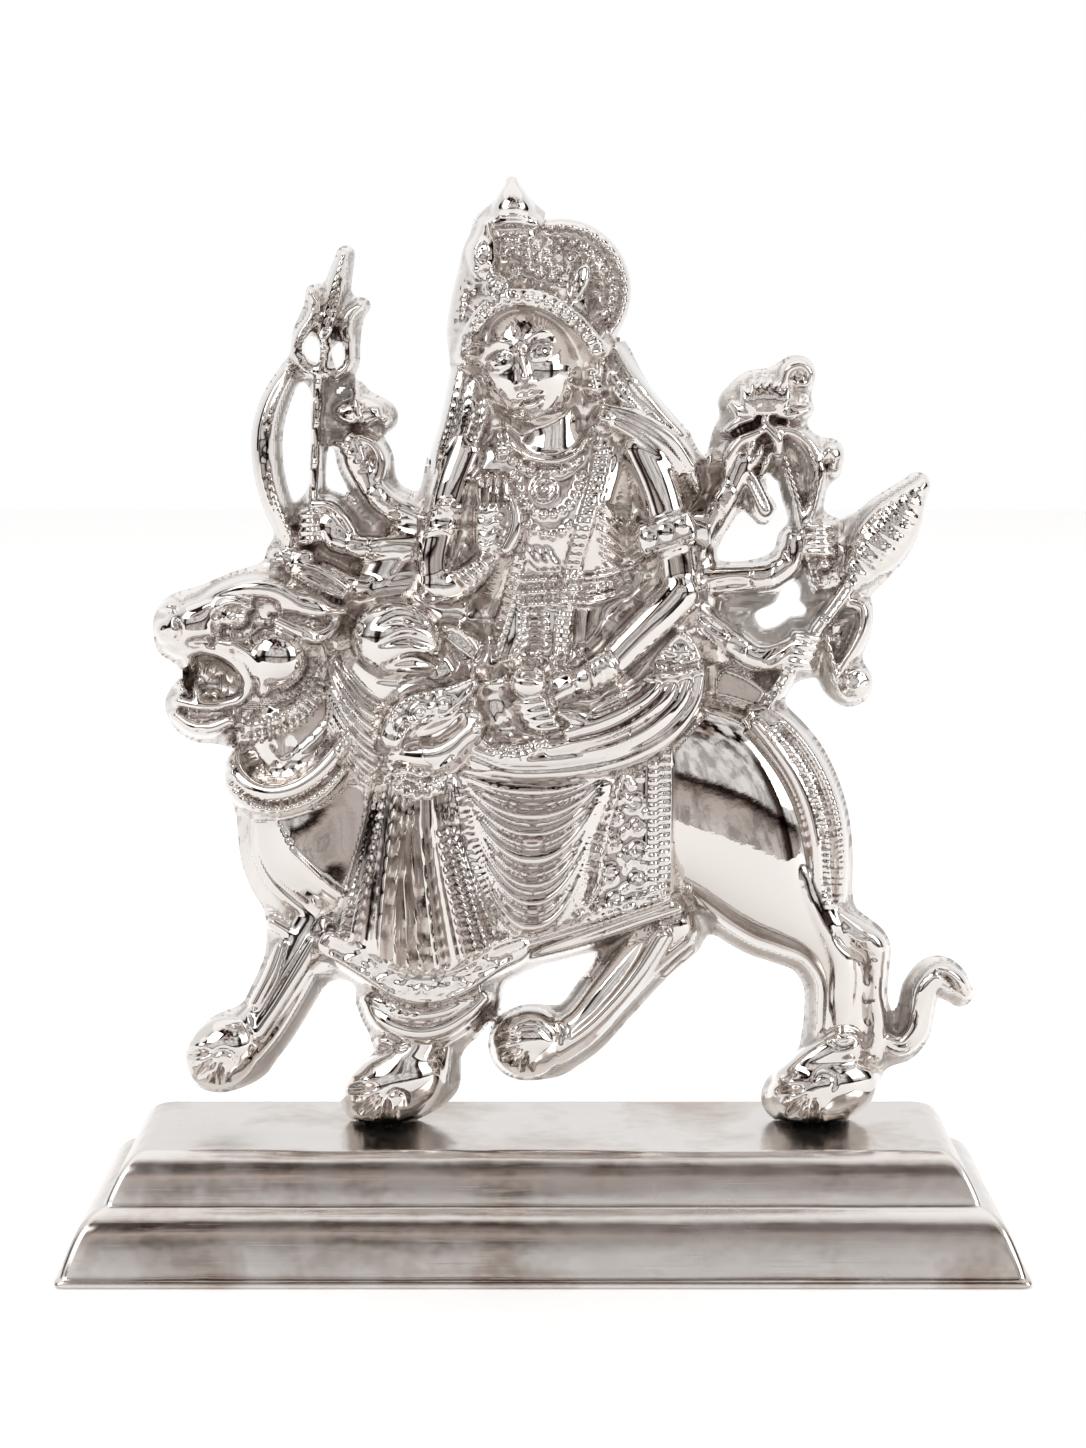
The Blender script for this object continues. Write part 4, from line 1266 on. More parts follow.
web([(-36, 33), (-37.5, 29), (-34, 22), (-28, 19), (-18, 19.5), (-14.5, 23.5), (-10.5, 27.5), (-8.6, 32),
     (-6.5, 36.5), (0, 40), (-16, 44), (-32, 40)])
cushion([(-33.5, 80), (-36.5, 66), (-40.5, 52), (-43.4, 43.2), (-43.6, 39), (-40, 36.2), (-35, 32.6),
         (-31, 29.4), (-25, 28), (-20, 28.6), (-15, 31.4), (-10, 35.4), (-5, 39.4), (3, 42.6), (8, 45.4),
         (11, 51), (12.6, 62), (16.6, 77.5), (4, 84), (-14, 84)], 11.0, full=1.0, most=6.5, edge_round=7.0,
        fillet=0.6, flange=0.5)
swell((-1.5, 60), (9, 15), 1.2)
swell((-12.5, 56), (2.6, 15), -1.6, degrees=12)
# Pleats: sloped like the teeth of a saw across the fan, between its left side and the swag, each with a fine
# lip.
down = np.array([76.0, 66, 55, 42, 34])
fan_left = np.interp(-up, -down, [-34.6, -37.2, -40.4, -44.0, -45.0])
fan_right = np.interp(-up, -down, [-18.0, -16.6, -13.2, -8.6, -6.0])
fan = (across - fan_left) / (fan_right - fan_left)
count = 10.5 * (fan + 0.035 * np.sin(fan * 14.0))
fan_outline = [(-34.2, 76.5), (-37.4, 66), (-40.6, 54), (-43.6, 43.4), (-38.4, 40.7), (-33.4, 37.4),
               (-28, 35.3), (-23, 34.8), (-18, 36.2), (-13.6, 38.4), (-9.4, 41.4), (-13.2, 54), (-16.4, 65),
               (-17.6, 76.5)]
spread = (fan_right - fan_left) / 24.0
folds(fan_outline, count, 2.1 * spread, sharp=0.8, fade=0.8, edge=0.72)
folds(fan_outline, count * 2 + 0.3, 0.35 * spread, sharp=0.8, fade=0.8)
# Swag: each fold is a curve hung from the two upper corners; phase counts how deep it hangs.
sway = np.abs((across + 1.6) / 16.4)
slack = np.clip(1 - sway**2.2, 0.04, 1)
hang = (78.4 - up) / slack
swag_outline = [(-17.4, 78.5), (-16.6, 67), (-13.8, 56), (-10.2, 44.6), (-4, 42.6), (3, 44), (8.2, 47),
                (11, 54), (12.8, 63), (15.8, 74), (17.0, 79), (6, 80), (-6, 80)]
hang = hang + 0.5 * np.sin(hang * 0.83)
folds(swag_outline, hang / 2.95, 2.2 * slack**0.8, sharp=0.7, fade=0.8, edge=0.38)
folds(swag_outline, hang / 1.475 + 0.35, 0.45 * slack, sharp=0.8, fade=1.0)
lay([(17.6, 79), (15.2, 71), (13.3, 63), (12.0, 55), (9.8, 49), (6.4, 45.4)], 0.8, 1.6, taper=2)
lay([(18.8, 78.6), (16.4, 70), (14.4, 62), (13.2, 54), (11.0, 48)], 0.55, -1.0, taper=2)
# Hem band: a broad strip between cords, with rosettes, leaves and seed pearls.
band_top = [(-43.6, 43.2), (-38.4, 40.7), (-33.4, 37.4), (-28, 35.3), (-23, 34.8), (-18, 36.2),
            (-13.6, 38.4), (-9.4, 41.4), (-4, 43.4)]
band_low = [(-43.8, 38.8), (-40, 36.4), (-35.2, 33.2), (-31.4, 30.4), (-26.6, 28.6), (-22, 28.7),
            (-17, 30.6), (-12, 33.8), (-6.6, 37.6)]
middle = [((a + c) / 2, (b + d) / 2) for (a, b), (c, d) in zip(band_top, band_low)]
line = [(x, v, 3.3, 17.6, 12) for x, v in middle]
limb(line, fillet=0.4, flange=1.4, power=5)
lay(band_top, 0.6, 1.0)
lay([(x + 0.1, v - 1.3) for x, v in band_top], 0.42, 0.7)
lay(band_low, 0.6, 1.0)
for i, (x, v, turn) in enumerate(spaced(middle[1:-1], 3.9)):
    if i % 2:
        rosette((x, v - 0.2), 1.9, 1.1, petals=6, degrees=turn)
    else:
        boss((x - 0.7, v - 0.2), (1.4, 0.6), 1.0, turn + 62)
        boss((x + 0.8, v - 0.2), (1.4, 0.6), 1.0, turn - 62)
# Rolled fold and the small crumpled one under the hem.
limb([(-36, 29.4, 1.4, 9.5, 3), (-33.6, 25.6, 2.1, 13, 5), (-29.6, 23.0, 2.3, 14.6, 6),
      (-25, 22.2, 2.3, 15, 6), (-20.4, 23.2, 2.2, 14.6, 6), (-16, 26.0, 1.9, 13.6, 5),
      (-12.0, 29.8, 1.5, 11.6, 4)], fillet=0.3)
limb([(-34.6, 29.2, 1.3, 12, 4), (-30.6, 27.0, 1.6, 14.2, 6), (-26, 26.0, 1.6, 14.8, 6),
      (-20.5, 26.8, 1.6, 14.6, 6), (-15.6, 29.2, 1.3, 13, 5)], fillet=0.3, flange=None)
strokes([(-33.2, 27.8), (-30, 26.8), (-26.6, 26.2)], 1.9, 1.6, 0.5, -0.6, lean=60)
limb([(-33.6, 20.6, 0.9, 8, 2), (-28.6, 19.4, 1.1, 9.5, 3), (-22, 19.7, 1.1, 9.6, 3),
      (-15.6, 23.2, 0.9, 8.5, 3)], fillet=0.5, flange=1.0)
cut_out("pleated_skirt")


# Her lap: the right knee drawn up under thin cloth, the lower leg crossed in front with its jewelled anklet
# and bare foot, a rosette band round the calf, and the cloth falling from both hips in bundled strands.
def circle(centre, half_across, half_up=None, degrees=30):
    """Points round a circle, or an upright oval, one for each step of so many degrees."""
    half_up = half_across if half_up is None else half_up
    turns = np.radians(range(0, 360, degrees))
    return [(centre[0] + half_across * cos(a), centre[1] + half_up * sin(a)) for a in turns]


web([(-44, 108), (-46, 92), (-42, 76), (-30, 70), (0, 70), (30, 80), (36, 100), (30, 120), (-24, 120)])
cushion([(-41.8, 104), (-40.5, 109), (-36, 113.2), (-30, 114.4), (-23.5, 111.8), (-18.4, 106.6), (-13, 99),
         (-4, 95), (2, 88), (-12, 84), (-22, 86), (-32, 88), (-39, 94)], 6.0, full=1.2, most=15.0,
        edge_round=14.0, fillet=1.5)
ball((-29.6, 105.4), (10.4, 8.8), 21.6, 8, degrees=-14, fillet=3.0, flange=None)
for arc, width, rise in ((((-34.4, 108.6), (-29.0, 110.6), (-22.4, 108.0)), 1.3, -1.3),
                         (((-33.6, 104.4), (-28.0, 106.2), (-20.8, 104.0)), 1.3, -1.4),
                         (((-32.6, 100.2), (-26.4, 101.8), (-19.6, 100.0)), 1.3, -1.3),
                         (((-34.4, 97.0), (-28.6, 97.8), (-20.0, 97.0)), 1.2, -1.1)):
    lay(arc, width, rise, power=1.6, taper=5)
# Cloth hanging from the knee in curved strands gathered at the anklet.
cushion([(-42.8, 105), (-44.8, 97), (-44.4, 88), (-42.4, 80.6), (-37.4, 74.6), (-32.6, 73.6), (-30.6, 78),
         (-30.2, 86), (-31.0, 92.4), (-35.6, 95), (-39.6, 99)], 6.0, full=1.6, most=11.0, edge_round=9.0,
        fillet=0.8)
drop = np.clip(-31.0 - across, 0, 15)
strand_line = up - 10.4 * (drop / 11.5) ** 2
strand_outline = [(-42.4, 106), (-44.6, 97), (-44.2, 88), (-42.2, 81), (-37.2, 75), (-32.6, 74),
                  (-30.8, 78), (-30.6, 86), (-31.4, 91.8), (-35.4, 94.2), (-39.2, 98.4)]
folds(strand_outline, (strand_line - 73.4) / 2.75, 1.9, sharp=0.7, fade=0.6, edge=0.68)
folds(strand_outline, (strand_line - 73.4) / 1.375 + 0.2, 0.35, sharp=0.8, fade=0.8)
# Shin and foot, coming forward round the knee, with the sole turned down and the toes to the left.
limb([(-15.2, 90.6, 2.8, 19, 8), (-14.2, 87.6, 3.0, 20.6, 9), (-17.0, 84.2, 3.2, 21.6, 9),
      (-20.6, 81.6, 3.5, 22.0, 9), (-24.6, 81.2, 3.2, 21.2, 9), (-28.4, 81.6, 2.4, 19.5, 8)], fillet=0.8,
     flange=None)
limb([(-29.4, 85.4, 1.8, 18.6, 9), (-23.4, 87.0, 2.6, 20.4, 9), (-17.4, 90, 2.6, 20, 9)], fillet=1.0,
     flange=None)
lay([(-15.4, 90.8), (-17.6, 87.0), (-21.6, 84.4), (-25.6, 84.2)], 0.9, -1.2, taper=3)
lay([(-13.2, 84.6), (-17.0, 80.2), (-19.2, 77.4)], 0.8, -0.8, taper=2)
for i, (x, v) in enumerate(((-30.0, 83.0), (-30.9, 81.5), (-31.2, 79.9), (-30.8, 78.4))):
    ball((x, v), (1.3, 0.85), 18.8 - 0.3 * i, 9, degrees=10, fillet=0.1, flange=None)
# Calf band with rosettes, over a rolled edge.
band = [(-30.6, 85.4, 3.0), (-29.0, 89.0, 3.4), (-25.6, 91.2, 3.5), (-20.8, 92.8, 3.0), (-16.8, 94.6, 2.2),
        (-14, 96.6, 1.4)]
limb([(x, v, w, 21.0, 8) for x, v, w in band], fillet=0.5, flange=None, power=3)
for side in (1, -1):
    edge = [(x - 0.32 * side * w, v + 0.82 * side * w) for x, v, w in band]
    lay(edge, 0.6, 1.0)
beads([(x - 0.26 * w, v + 0.55 * w) for x, v, w in band], radius=0.6, pitch=1.6, rise=0.8)
for x, v in ((-27.9, 86.9), (-24.8, 90.2), (-20.0, 92.0)):
    lay(circle((x, v), 1.9), 0.42, 0.9, closed=True)
    boss((x, v), (1.0, 1.0), 1.1)
    boss((x, v), (0.45, 0.45), 0.5)
for x, v in ((-26.6, 88.7), (-22.5, 91.4), (-29.6, 84.6)):
    boss((x, v), (0.55, 1.0), 0.9, -30)
# Anklet: a cord, scalloped drops and a rosette at the buckle.
lay([(-31.6, 77.4), (-28.6, 78.4), (-24.2, 77.2), (-20.8, 78.6), (-18, 80.6)], 0.6, 1.3)
lay([(-31.0, 75.8), (-28, 76.6), (-24, 75.4), (-20.8, 76.8), (-18.2, 78.8)], 0.5, 1.0)
for x, v in ((-29.8, 75.0), (-27.8, 73.9), (-25.7, 73.3), (-23.6, 73.4), (-21.6, 74.4)):
    lay(circle((x, v + 0.1), 0.95, degrees=40), 0.42, 1.1, closed=True)
    boss((x, v), (0.45, 0.45), 0.8)
rosette((-29.4, 77.6), 1.6, 1.1)
cut_out("raised_knee_and_foot")


# Right hip and thigh: heavy strands of the lower cloth sweeping across the lap from the hip, under the
# garland.
limb([(27.4, 99, 6.4, 14.5, 4), (25.4, 92.4, 7.4, 17, 5), (19.4, 87.0, 7.4, 19.0, 6),
      (11, 83.0, 6.4, 20, 7), (0, 80.8, 4.8, 19.6, 8), (-8, 80.8, 3.6, 18.6, 8),
      (-14.6, 83.0, 2.4, 17.6, 8)], fillet=1.5)
for points in ([(33.4, 98.6, 1.3, 14.6, 6), (32.0, 92.6, 1.7, 16.2, 8), (27.4, 86.4, 2.0, 18.2, 10),
                (20.4, 81.8, 2.0, 19.8, 11), (12, 79.0, 1.8, 20.6, 12), (2, 77.6, 1.5, 20.4, 12),
                (-7, 77.8, 1.3, 19.6, 12), (-14.4, 80.4, 1.0, 18.6, 12)],
               [(31.0, 98.8, 1.4, 15.4, 6), (29.0, 93.0, 1.8, 17.2, 8), (24.4, 88.0, 2.0, 19.2, 10),
                (17.6, 84.0, 2.0, 20.6, 12), (9.6, 81.4, 1.8, 21.2, 12), (1, 80.1, 1.5, 20.8, 12),
                (-7, 80.2, 1.3, 20.0, 12), (-13.6, 82.4, 1.0, 19, 12)],
               [(28.4, 98.8, 1.4, 16.0, 6), (26.0, 93.8, 1.8, 18.0, 8), (21.4, 89.6, 2.0, 20.0, 10),
                (15.0, 86.2, 2.0, 21.2, 12), (8, 83.8, 1.8, 21.6, 12), (2.4, 82.7, 1.4, 21.0, 12)],
               [(25.8, 98.6, 1.3, 16.4, 6), (23.0, 94.8, 1.7, 18.6, 8), (18.2, 91.2, 1.9, 20.4, 10),
                (12.4, 88.4, 1.9, 21.4, 12), (6.0, 86.3, 1.5, 21.0, 12)],
               [(23.4, 97.8, 1.1, 16.4, 6), (20.0, 95.2, 1.5, 18.4, 8), (15.4, 92.8, 1.6, 19.6, 10),
                (11.4, 90.8, 1.2, 19.8, 12)]):
    limb(points, fillet=0.15, flange=None)
for shift in (0.0, 2.5, 5.2):
    lay([(31.6 - shift, 92.8 + 0.2 * shift), (26.4 - shift, 86.8 + 0.5 * shift),
         (18 - shift, 82.2 + 0.6 * shift), (8 - shift, 79.8 + 0.75 * shift)], 0.5, 0.6, taper=6)
# Small knot under the bowl hand.
limb([(4, 90.4, 1.0, 20, 12), (7.2, 89.6, 1.7, 21.4, 12), (10, 89.2, 1.5, 21.0, 12),
      (11.6, 90.4, 0.9, 19.6, 12)], fillet=0.3, flange=None)
lay([(5, 90.2), (7.8, 89.6), (10.6, 89.6)], 0.45, -0.8, taper=1)
# Hip ornament: a small filigree triangle on a corded base.
slab([(22.8, 99.2), (33.6, 101.2), (29.8, 107.4), (25.4, 104)], 14.6, edge_round=0.8, fillet=0.4)
lay([(22.0, 98.4), (27, 98.2), (33.8, 99.8)], 0.8, 2.0)
lay([(22.6, 100.2), (27, 100.3), (33.2, 101.8)], 0.5, 1.2)
lay([(23.4, 101), (26, 104.2), (29.6, 107.2), (31.6, 105), (33.2, 102.4)], 0.5, 1.1)
rosette((29.2, 103.0), 2.0, 1.2, petals=6)
for x, v in ((25.2, 101.8), (26.6, 103.4), (32.0, 102.4)):
    boss((x, v), (0.7, 0.7), 1.0)
cut_out("lap_cloth")


# Halo: a round plate behind the crown, set with three rings of beads. Low relief, cast in the
# skin, with the webs that also carry the hair.
HALO_MIDDLE = (4.3, 177.4)
HALO_RADIUS = 14.2

web([(-16.5, 171), (-17, 160), (-19, 150), (-22, 139), (-18, 134), (-8, 146), (12, 146), (26, 134),
     (34, 134), (31, 142), (26, 149.5), (20.5, 156), (17, 166), (8, 168)])
slab(circle(HALO_MIDDLE, HALO_RADIUS, degrees=20), 10.4, edge_round=1.2, fillet=0.6, flange=0.4)
for radius, size, pitch in ((13.0, 1.1, 2.35), (9.9, 1.0, 2.3), (7.0, 1.0, 2.3)):
    beads(circle(HALO_MIDDLE, radius, degrees=15), radius=size, pitch=pitch, rise=1.7, closed=True)
cut_out("beaded_halo")


# Hair: long and waved, falling from under the crown on both shoulders. Cast in the skin in low relief and
# combed into strands, each with three fine ridges.
def bundle(points, count, ridge, fillet=0.8, flange=FLANGE, full=1.0, sharp=0.6):
    """Strands laid side by side along a smooth line, as in hair or gathered cloth: a dome full strong with
    count ridges across it, each the sine of its share of the width to the power sharp."""
    line = smooth_line(points, 0.4)
    part, along, off, past, reached, run = beside(line, line[:, 2].max() + 2.5 + (flange or 0) + WEB_FILLET)
    half, crown, foot = (np.interp(along, run, line[:, i]) for i in (2, 3, 4))
    distance = np.hypot(off, past)
    crests = np.abs(np.sin(pi * count * (off / half + 1) / 2)) ** sharp
    strand = crests * np.clip(2 * (1 - distance / half), 0, 1) ** 0.5
    rise = foot + (crown - foot - ridge) * dome(distance / half, 2.0 + full) + ridge * strand
    inside = None if flange is None else np.where(reached, half + flange - distance, NOWHERE)
    raise_to(part, np.where(reached, rise, NOWHERE), fillet, inside)


cushion([(-14.5, 168), (-16.4, 160), (-18.2, 151), (-21, 142), (-21.8, 137), (-17.6, 136), (-12, 143),
         (-4, 149), (10, 149), (18, 144), (26, 136.4), (32.8, 137.4), (30, 144.6), (26.4, 149.8),
         (22.4, 154), (19.4, 159.6), (16.6, 165.4), (13, 169), (0, 172)], 3.0, full=1.2, most=9.5,
        edge_round=5.0, fillet=0.8, flange=0.6)
for points in ([(-14.8, 166, 1.7, 10, 7), (-16.2, 158, 2.0, 12.4, 7), (-17.9, 150, 2.1, 12.8, 7),
                (-20.2, 142.6, 1.6, 12, 7), (-20.9, 137.6, 1.0, 10, 6)],
               [(-12.6, 163, 1.3, 10, 7), (-13.6, 157, 1.6, 13, 8), (-15.0, 150.4, 1.7, 13.4, 8),
                (-17.4, 143.4, 1.3, 13, 8), (-18.6, 138.8, 0.9, 11, 7)],
               [(-10.6, 159, 1.1, 12, 8), (-11.4, 153.4, 1.4, 13.4, 8), (-12.8, 148, 1.2, 13.4, 8),
                (-14.4, 144.4, 0.8, 12, 8)],
               [(12.4, 164.8, 1.4, 12, 7), (15.4, 158.6, 1.8, 13.6, 8), (19.0, 153.8, 1.9, 14, 8),
                (23.6, 150.4, 1.6, 13, 7), (27.0, 147.8, 0.9, 11, 6)],
               [(15.2, 165.4, 1.2, 11, 7), (18.2, 160.0, 1.7, 12.8, 7), (21.6, 155.6, 1.7, 12.8, 7),
                (25.4, 151.6, 1.2, 12, 7), (29.0, 148.0, 0.8, 10, 6)],
               [(26.0, 147.4, 1.2, 11, 6), (29.4, 143.4, 1.6, 11.6, 6), (31.6, 139.4, 1.4, 11, 5),
                (32.6, 136.6, 0.9, 9, 4)]):
    bundle(points, 3, 1.3, fillet=0.2, flange=0.6)
cut_out("long_hair")


# Her body: shoulders, breast and narrow waist in a tight bodice, under necklaces, a
# jewelled belt and two long garlands. Deep rounded relief; every chain is a row of small
# cast beads, bright on top and dark between.
cushion([(-44, 108), (-40, 118), (-34, 128), (-26, 134), (-16, 140), (-10, 126), (-10, 108), (-20, 100),
         (-34, 100)], 2.0, full=0.9, most=8.0, edge_round=5.0, fillet=2.0, flange=None)
cushion([(16, 104), (16, 146), (26, 142), (33, 134), (37, 124), (38, 112), (34, 100), (24, 98)],
        2.0, full=0.9, most=8.5, edge_round=5.0, fillet=2.0, flange=None)
cushion([(-17.5, 146), (-10, 150.5), (0, 152), (12, 152), (20, 149.5), (22, 143), (19.4, 133), (18.2, 124),
         (18, 116), (15, 109), (14.6, 100), (14, 90), (2, 84), (-10, 85), (-16, 90), (-14.2, 98),
         (-12.4, 106), (-10.2, 113), (-11.5, 121), (-15, 131), (-18.2, 140)], 3.0, full=0.95, most=13.0,
        edge_round=8.0, fillet=2.0)
swell((9.8, 130.0), (9.5, 10.0), 4.4, 15)
swell((-6.4, 131.0), (8.5, 9.5), 3.6, -15)
swell((-0.8, 106), (10.0, 11.0), 2.6)
swell((-4.6, 89), (9.5, 7.0), 3.6)
# Neck: one smooth hollow-throated form inside the collar.
limb([(2.6, 157, 5.6, 13.5, 5), (2.8, 150, 6.4, 14.4, 5), (2.6, 145, 7.4, 15.4, 6)], fillet=2.5)
# Bodice folds under the arm and stole over the far shoulder.
for i in range(5):
    lay([(11.4 + 0.2 * i, 134.6 - 2.7 * i), (14.2 + 0.1 * i, 132.6 - 2.8 * i), (17.6, 128.6 - 2.2 * i)],
        0.95, 1.5, power=1.6, taper=2)
for i in range(3):
    lay([(-3.4 + 2.2 * i, 125.6 - 0.3 * i), (-1.6 + 1.9 * i, 122.4), (0.8 + 1.6 * i, 120.0)], 0.8, 1.1,
        taper=1.5)
for shift in (-1.6, 0.2, 2.0):
    limb([(12.6 + shift * 0.2, 152.8 + shift * 0.6, 1.0, 14, 6),
          (19.2 + shift * 0.6, 150 + shift * 0.8, 1.2, 15, 6),
          (25.2 + shift, 146 + shift * 0.6, 1.2, 14.4, 5),
          (29.8 + shift * 0.8, 140.8 + shift * 0.3, 0.9, 12, 4)], fillet=0.2, flange=1.4)
# Collar, three rows of pearls round the pendant ring, and two more rows hung below it.
lay([(-6.6, 150.6), (-5.6, 146.6), (-3.0, 143.8), (1.4, 142.6), (5.4, 143.2), (8.6, 145.8), (10.8, 150)],
    1.05, 1.9)
lay([(-5.8, 145.2), (-3.0, 142.4), (1.6, 141.2), (6.2, 142.2), (9.4, 145.0)], 0.5, -1.2, taper=1.5)
beads([(-5.4, 142.9), (-2.4, 141.1), (1.8, 140.5), (5.8, 141.5), (8.2, 143.8), (9.4, 147.0)], radius=0.92,
      pitch=1.98, rise=1.5)
beads([(-5.0, 139.4), (-3.8, 135.4), (-1.4, 132.4), (1.6, 131.4), (4.8, 132.6), (7.2, 135.6), (8.6, 139.6)],
      radius=0.92, pitch=2.05, rise=1.5)
beads([(-4.6, 133.4), (-2.6, 129.8), (0.4, 127.6), (3.4, 127.4), (6.0, 129.4)], radius=0.92, pitch=2.05,
      rise=1.5)
lay(circle((0.8, 137.0), 2.0, 2.1), 0.6, 1.6, closed=True)
boss((0.8, 137.0), (1.1, 1.2), 1.6)
# Garlands: a flat band from each shoulder edged with pearls, closing in a loop on the lap.
right_garland = [(13.4, 151.4), (12.8, 145), (12.0, 139.6), (10.4, 133.6), (8.8, 128), (7.2, 122.4),
                 (6.0, 116), (5.0, 108.6), (4.3, 101.6)]
left_garland = [(-8.2, 150.4), (-7.6, 144.4)]
left_lower = [(-4.4, 122.4), (-6.0, 116.4), (-7.6, 110.6), (-9.6, 104.4), (-11.6, 98.6), (-13.2, 94.2)]
for line, width in ((right_garland, 1.9), (left_garland, 1.6), (left_lower, 1.6)):
    lay([(x, v, 1) for x, v in line], width, 0.8, power=3)
    smooth = smooth_line(line, 1.2)
    way = np.gradient(smooth[:, :2], axis=0)
    way /= np.hypot(way[:, 0], way[:, 1])[:, None]
    for side in (-0.5, 0.5):
        edge = np.column_stack([smooth[:, 0] - side * width * way[:, 1],
                                smooth[:, 1] + side * width * way[:, 0]])
        beads(edge, radius=0.46 * width, pitch=1.8, rise=0.9)
for x, v in ((3.2, 102.4), (5.4, 102.4), (3.4, 100.4), (5.2, 100.3), (-13.6, 92.6), (-12.2, 91.8),
             (-13.9, 90.8), (-12.4, 90.2)):
    boss((x, v), (0.95, 0.95), 1.5)
for shift, size in ((0, 0.86), (1.75, 0.78)):
    beads([(-13.0 + shift * 0.9, 87.6), (-12 + shift, 84.6 + shift * 0.6),
           (-8.8 + shift * 0.4, 82.2 + shift), (-4.6, 81.4 + shift), (-1.2 - shift * 0.3, 82.4 + shift),
           (1.2 - shift, 85.2 + shift * 0.6), (1.6 - shift, 88.4)], radius=size, pitch=1.85, rise=1.4)
# Belt: two broad cords round a row of studs, a jewelled buckle of rows and a fringed tassel below it.
lay([(6.8, 118.6), (11, 118.8), (15.4, 119.6), (19.2, 121.0)], 0.75, 1.7)
lay([(6.8, 113.6), (11, 113.6), (15.0, 114.6), (18.2, 116.0)], 0.75, 1.7)
beads([(8.0, 115.9), (11, 116.0), (15.0, 117.0), (18.4, 118.4)], radius=0.85, pitch=1.95, rise=1.3)
for v in (118.2, 115.7, 113.2):
    beads([(-3.4, v - 0.3), (0.8, v), (5.0, v + 0.1)], radius=1.1, pitch=2.3, rise=1.7)
for i in range(5):
    v = 111.0 - 1.65 * i
    lay([(-4.2 - 0.12 * i, v - 0.6), (-1.4, v + 0.4), (1.6 + 0.1 * i, v - 0.2)], 0.6, 1.4, taper=0.6)
for x in (-4.6, -2.9, -1.2):
    boss((x, 102.4 + 0.2 * abs(x + 2.9)), (0.95, 0.95), 1.4)
cut_out("body_with_necklaces")


# Her front right arm, on the viewer's left: armlet above the elbow, four bangles and the open hand raised
# palm forward with the fingers together. Smooth bright skin between ringed jewels.
web([(-20, 147), (-22, 137), (-25.5, 128), (-27, 118), (-24, 112), (-16, 112), (-10, 120), (-8, 140)])
limb([(-15.5, 144.5, 4.0, 14.5, 3), (-18, 138, 3.9, 15.5, 3), (-20, 130, 3.8, 15.8, 3),
      (-21.6, 122, 3.9, 15.8, 3), (-21.4, 117.4, 4.0, 15.6, 3)], fillet=1.5)
limb([(-21.6, 116.6, 3.9, 15.8, 3), (-17.6, 117, 3.5, 17, 4), (-13.8, 119.4, 3.0, 18, 5),
      (-11.4, 121.8, 2.6, 18.2, 6)], fillet=1.5)
for shift, rise in ((2.2, 1.0), (-2.0, 1.0)):
    lay([(-24, 129.8 + shift), (-19.4, 130.8 + shift), (-15, 130.4 + shift)], 0.5, rise)
beads([(-23.8, 131), (-19.4, 132), (-15.2, 131.4)], radius=0.6, pitch=1.4, rise=1.0)
ball((-19.4, 133.6), (1.6, 1.3), 17.6, 12, fillet=0.3, flange=None)
for i in range(4):
    lay([(-17.6 + 1.75 * i, 119.6 + 1.0 * i), (-15.5 + 1.75 * i, 117.4 + 0.7 * i),
         (-14.4 + 1.5 * i, 114.8 + 0.8 * i)], 0.8, 1.9)
cushion([(-13.4, 124.2), (-11, 122), (-8.6, 122.4), (-5.8, 125.4), (-4.8, 129.4), (-5.2, 133.6),
         (-6.4, 139.4), (-9.6, 140.2), (-13, 139.4), (-13.6, 134), (-13.9, 128)], 14.0, full=2.4, most=8.5,
        edge_round=3.0, fillet=0.5, flange=None)
for i in range(3):
    x = -11.6 + 1.75 * i
    lay([(x, 132.4), (x + 0.1, 136.4), (x + 0.2, 140.2)], 0.42, -2.4, power=1.4, taper=1.2)
limb([(-7.0, 124.6, 1.5, 20.4, 14), (-5.2, 128.2, 1.6, 20.6, 14), (-5.0, 132, 1.3, 20.2, 14),
      (-5.8, 134.8, 0.9, 19.4, 14)], fillet=0.3, flange=None)
for v in (131.0, 128.6, 126.2):
    lay([(-12.8, v + 0.4), (-11.0, v - 0.5), (-9.4, v + 0.4), (-7.6, v - 0.3)], 0.4, -1.0, taper=1)
cut_out("blessing_arm")


# Her front left arm, on the viewer's right: broad armlet, bent elbow, four bangles and a hand that cradles a
# round bowl in her lap. A pleated sleeve end hangs behind the elbow.
web([(20, 150), (26, 150), (31.5, 141), (34, 131), (34, 119), (32.6, 113.6), (28, 110), (20, 112), (16, 130)])
limb([(20.6, 145.2, 4.4, 14.5, 3), (24, 138, 4.6, 15.6, 3), (26.4, 130, 4.4, 16, 3),
      (28.2, 122, 4.2, 15.8, 3), (28.8, 116.4, 4.2, 15.6, 3)], fillet=1.5)
limb([(29.0, 115.4, 4.6, 17, 4), (24.8, 110.8, 4.3, 18.6, 5), (18.8, 104.8, 4.0, 19.8, 6),
      (13.2, 99.4, 3.7, 20.8, 8), (9.4, 97.2, 3.4, 21.2, 9)], fillet=1.0)
slab([(20.2, 128.4), (24.6, 130.2), (30.6, 132), (32.2, 127.2), (26.8, 125), (21.4, 123.6)], 17.2,
     edge_round=1.2, fillet=0.4)
lay([(20, 129), (25, 130.6), (30.8, 132.4)], 0.55, 1.1)
lay([(21.2, 123.2), (26.6, 124.8), (32.2, 126.8)], 0.55, 1.1)
lay([(21.4, 122.2), (26.6, 123.6), (32, 125.6)], 0.3, 0.7)
for x, v in ((22.6, 126.6), (26, 128), (29.4, 129.4)):
    rosette((x, v), 1.5, 0.9, petals=7)
for i in range(4):
    lay([(8.2 + 1.75 * i, 103.4 - 0.25 * i), (10.8 + 1.75 * i, 99.4 - 0.4 * i),
         (11.8 + 1.7 * i, 94.2 - 0.1 * i)], 0.86, 2.2)
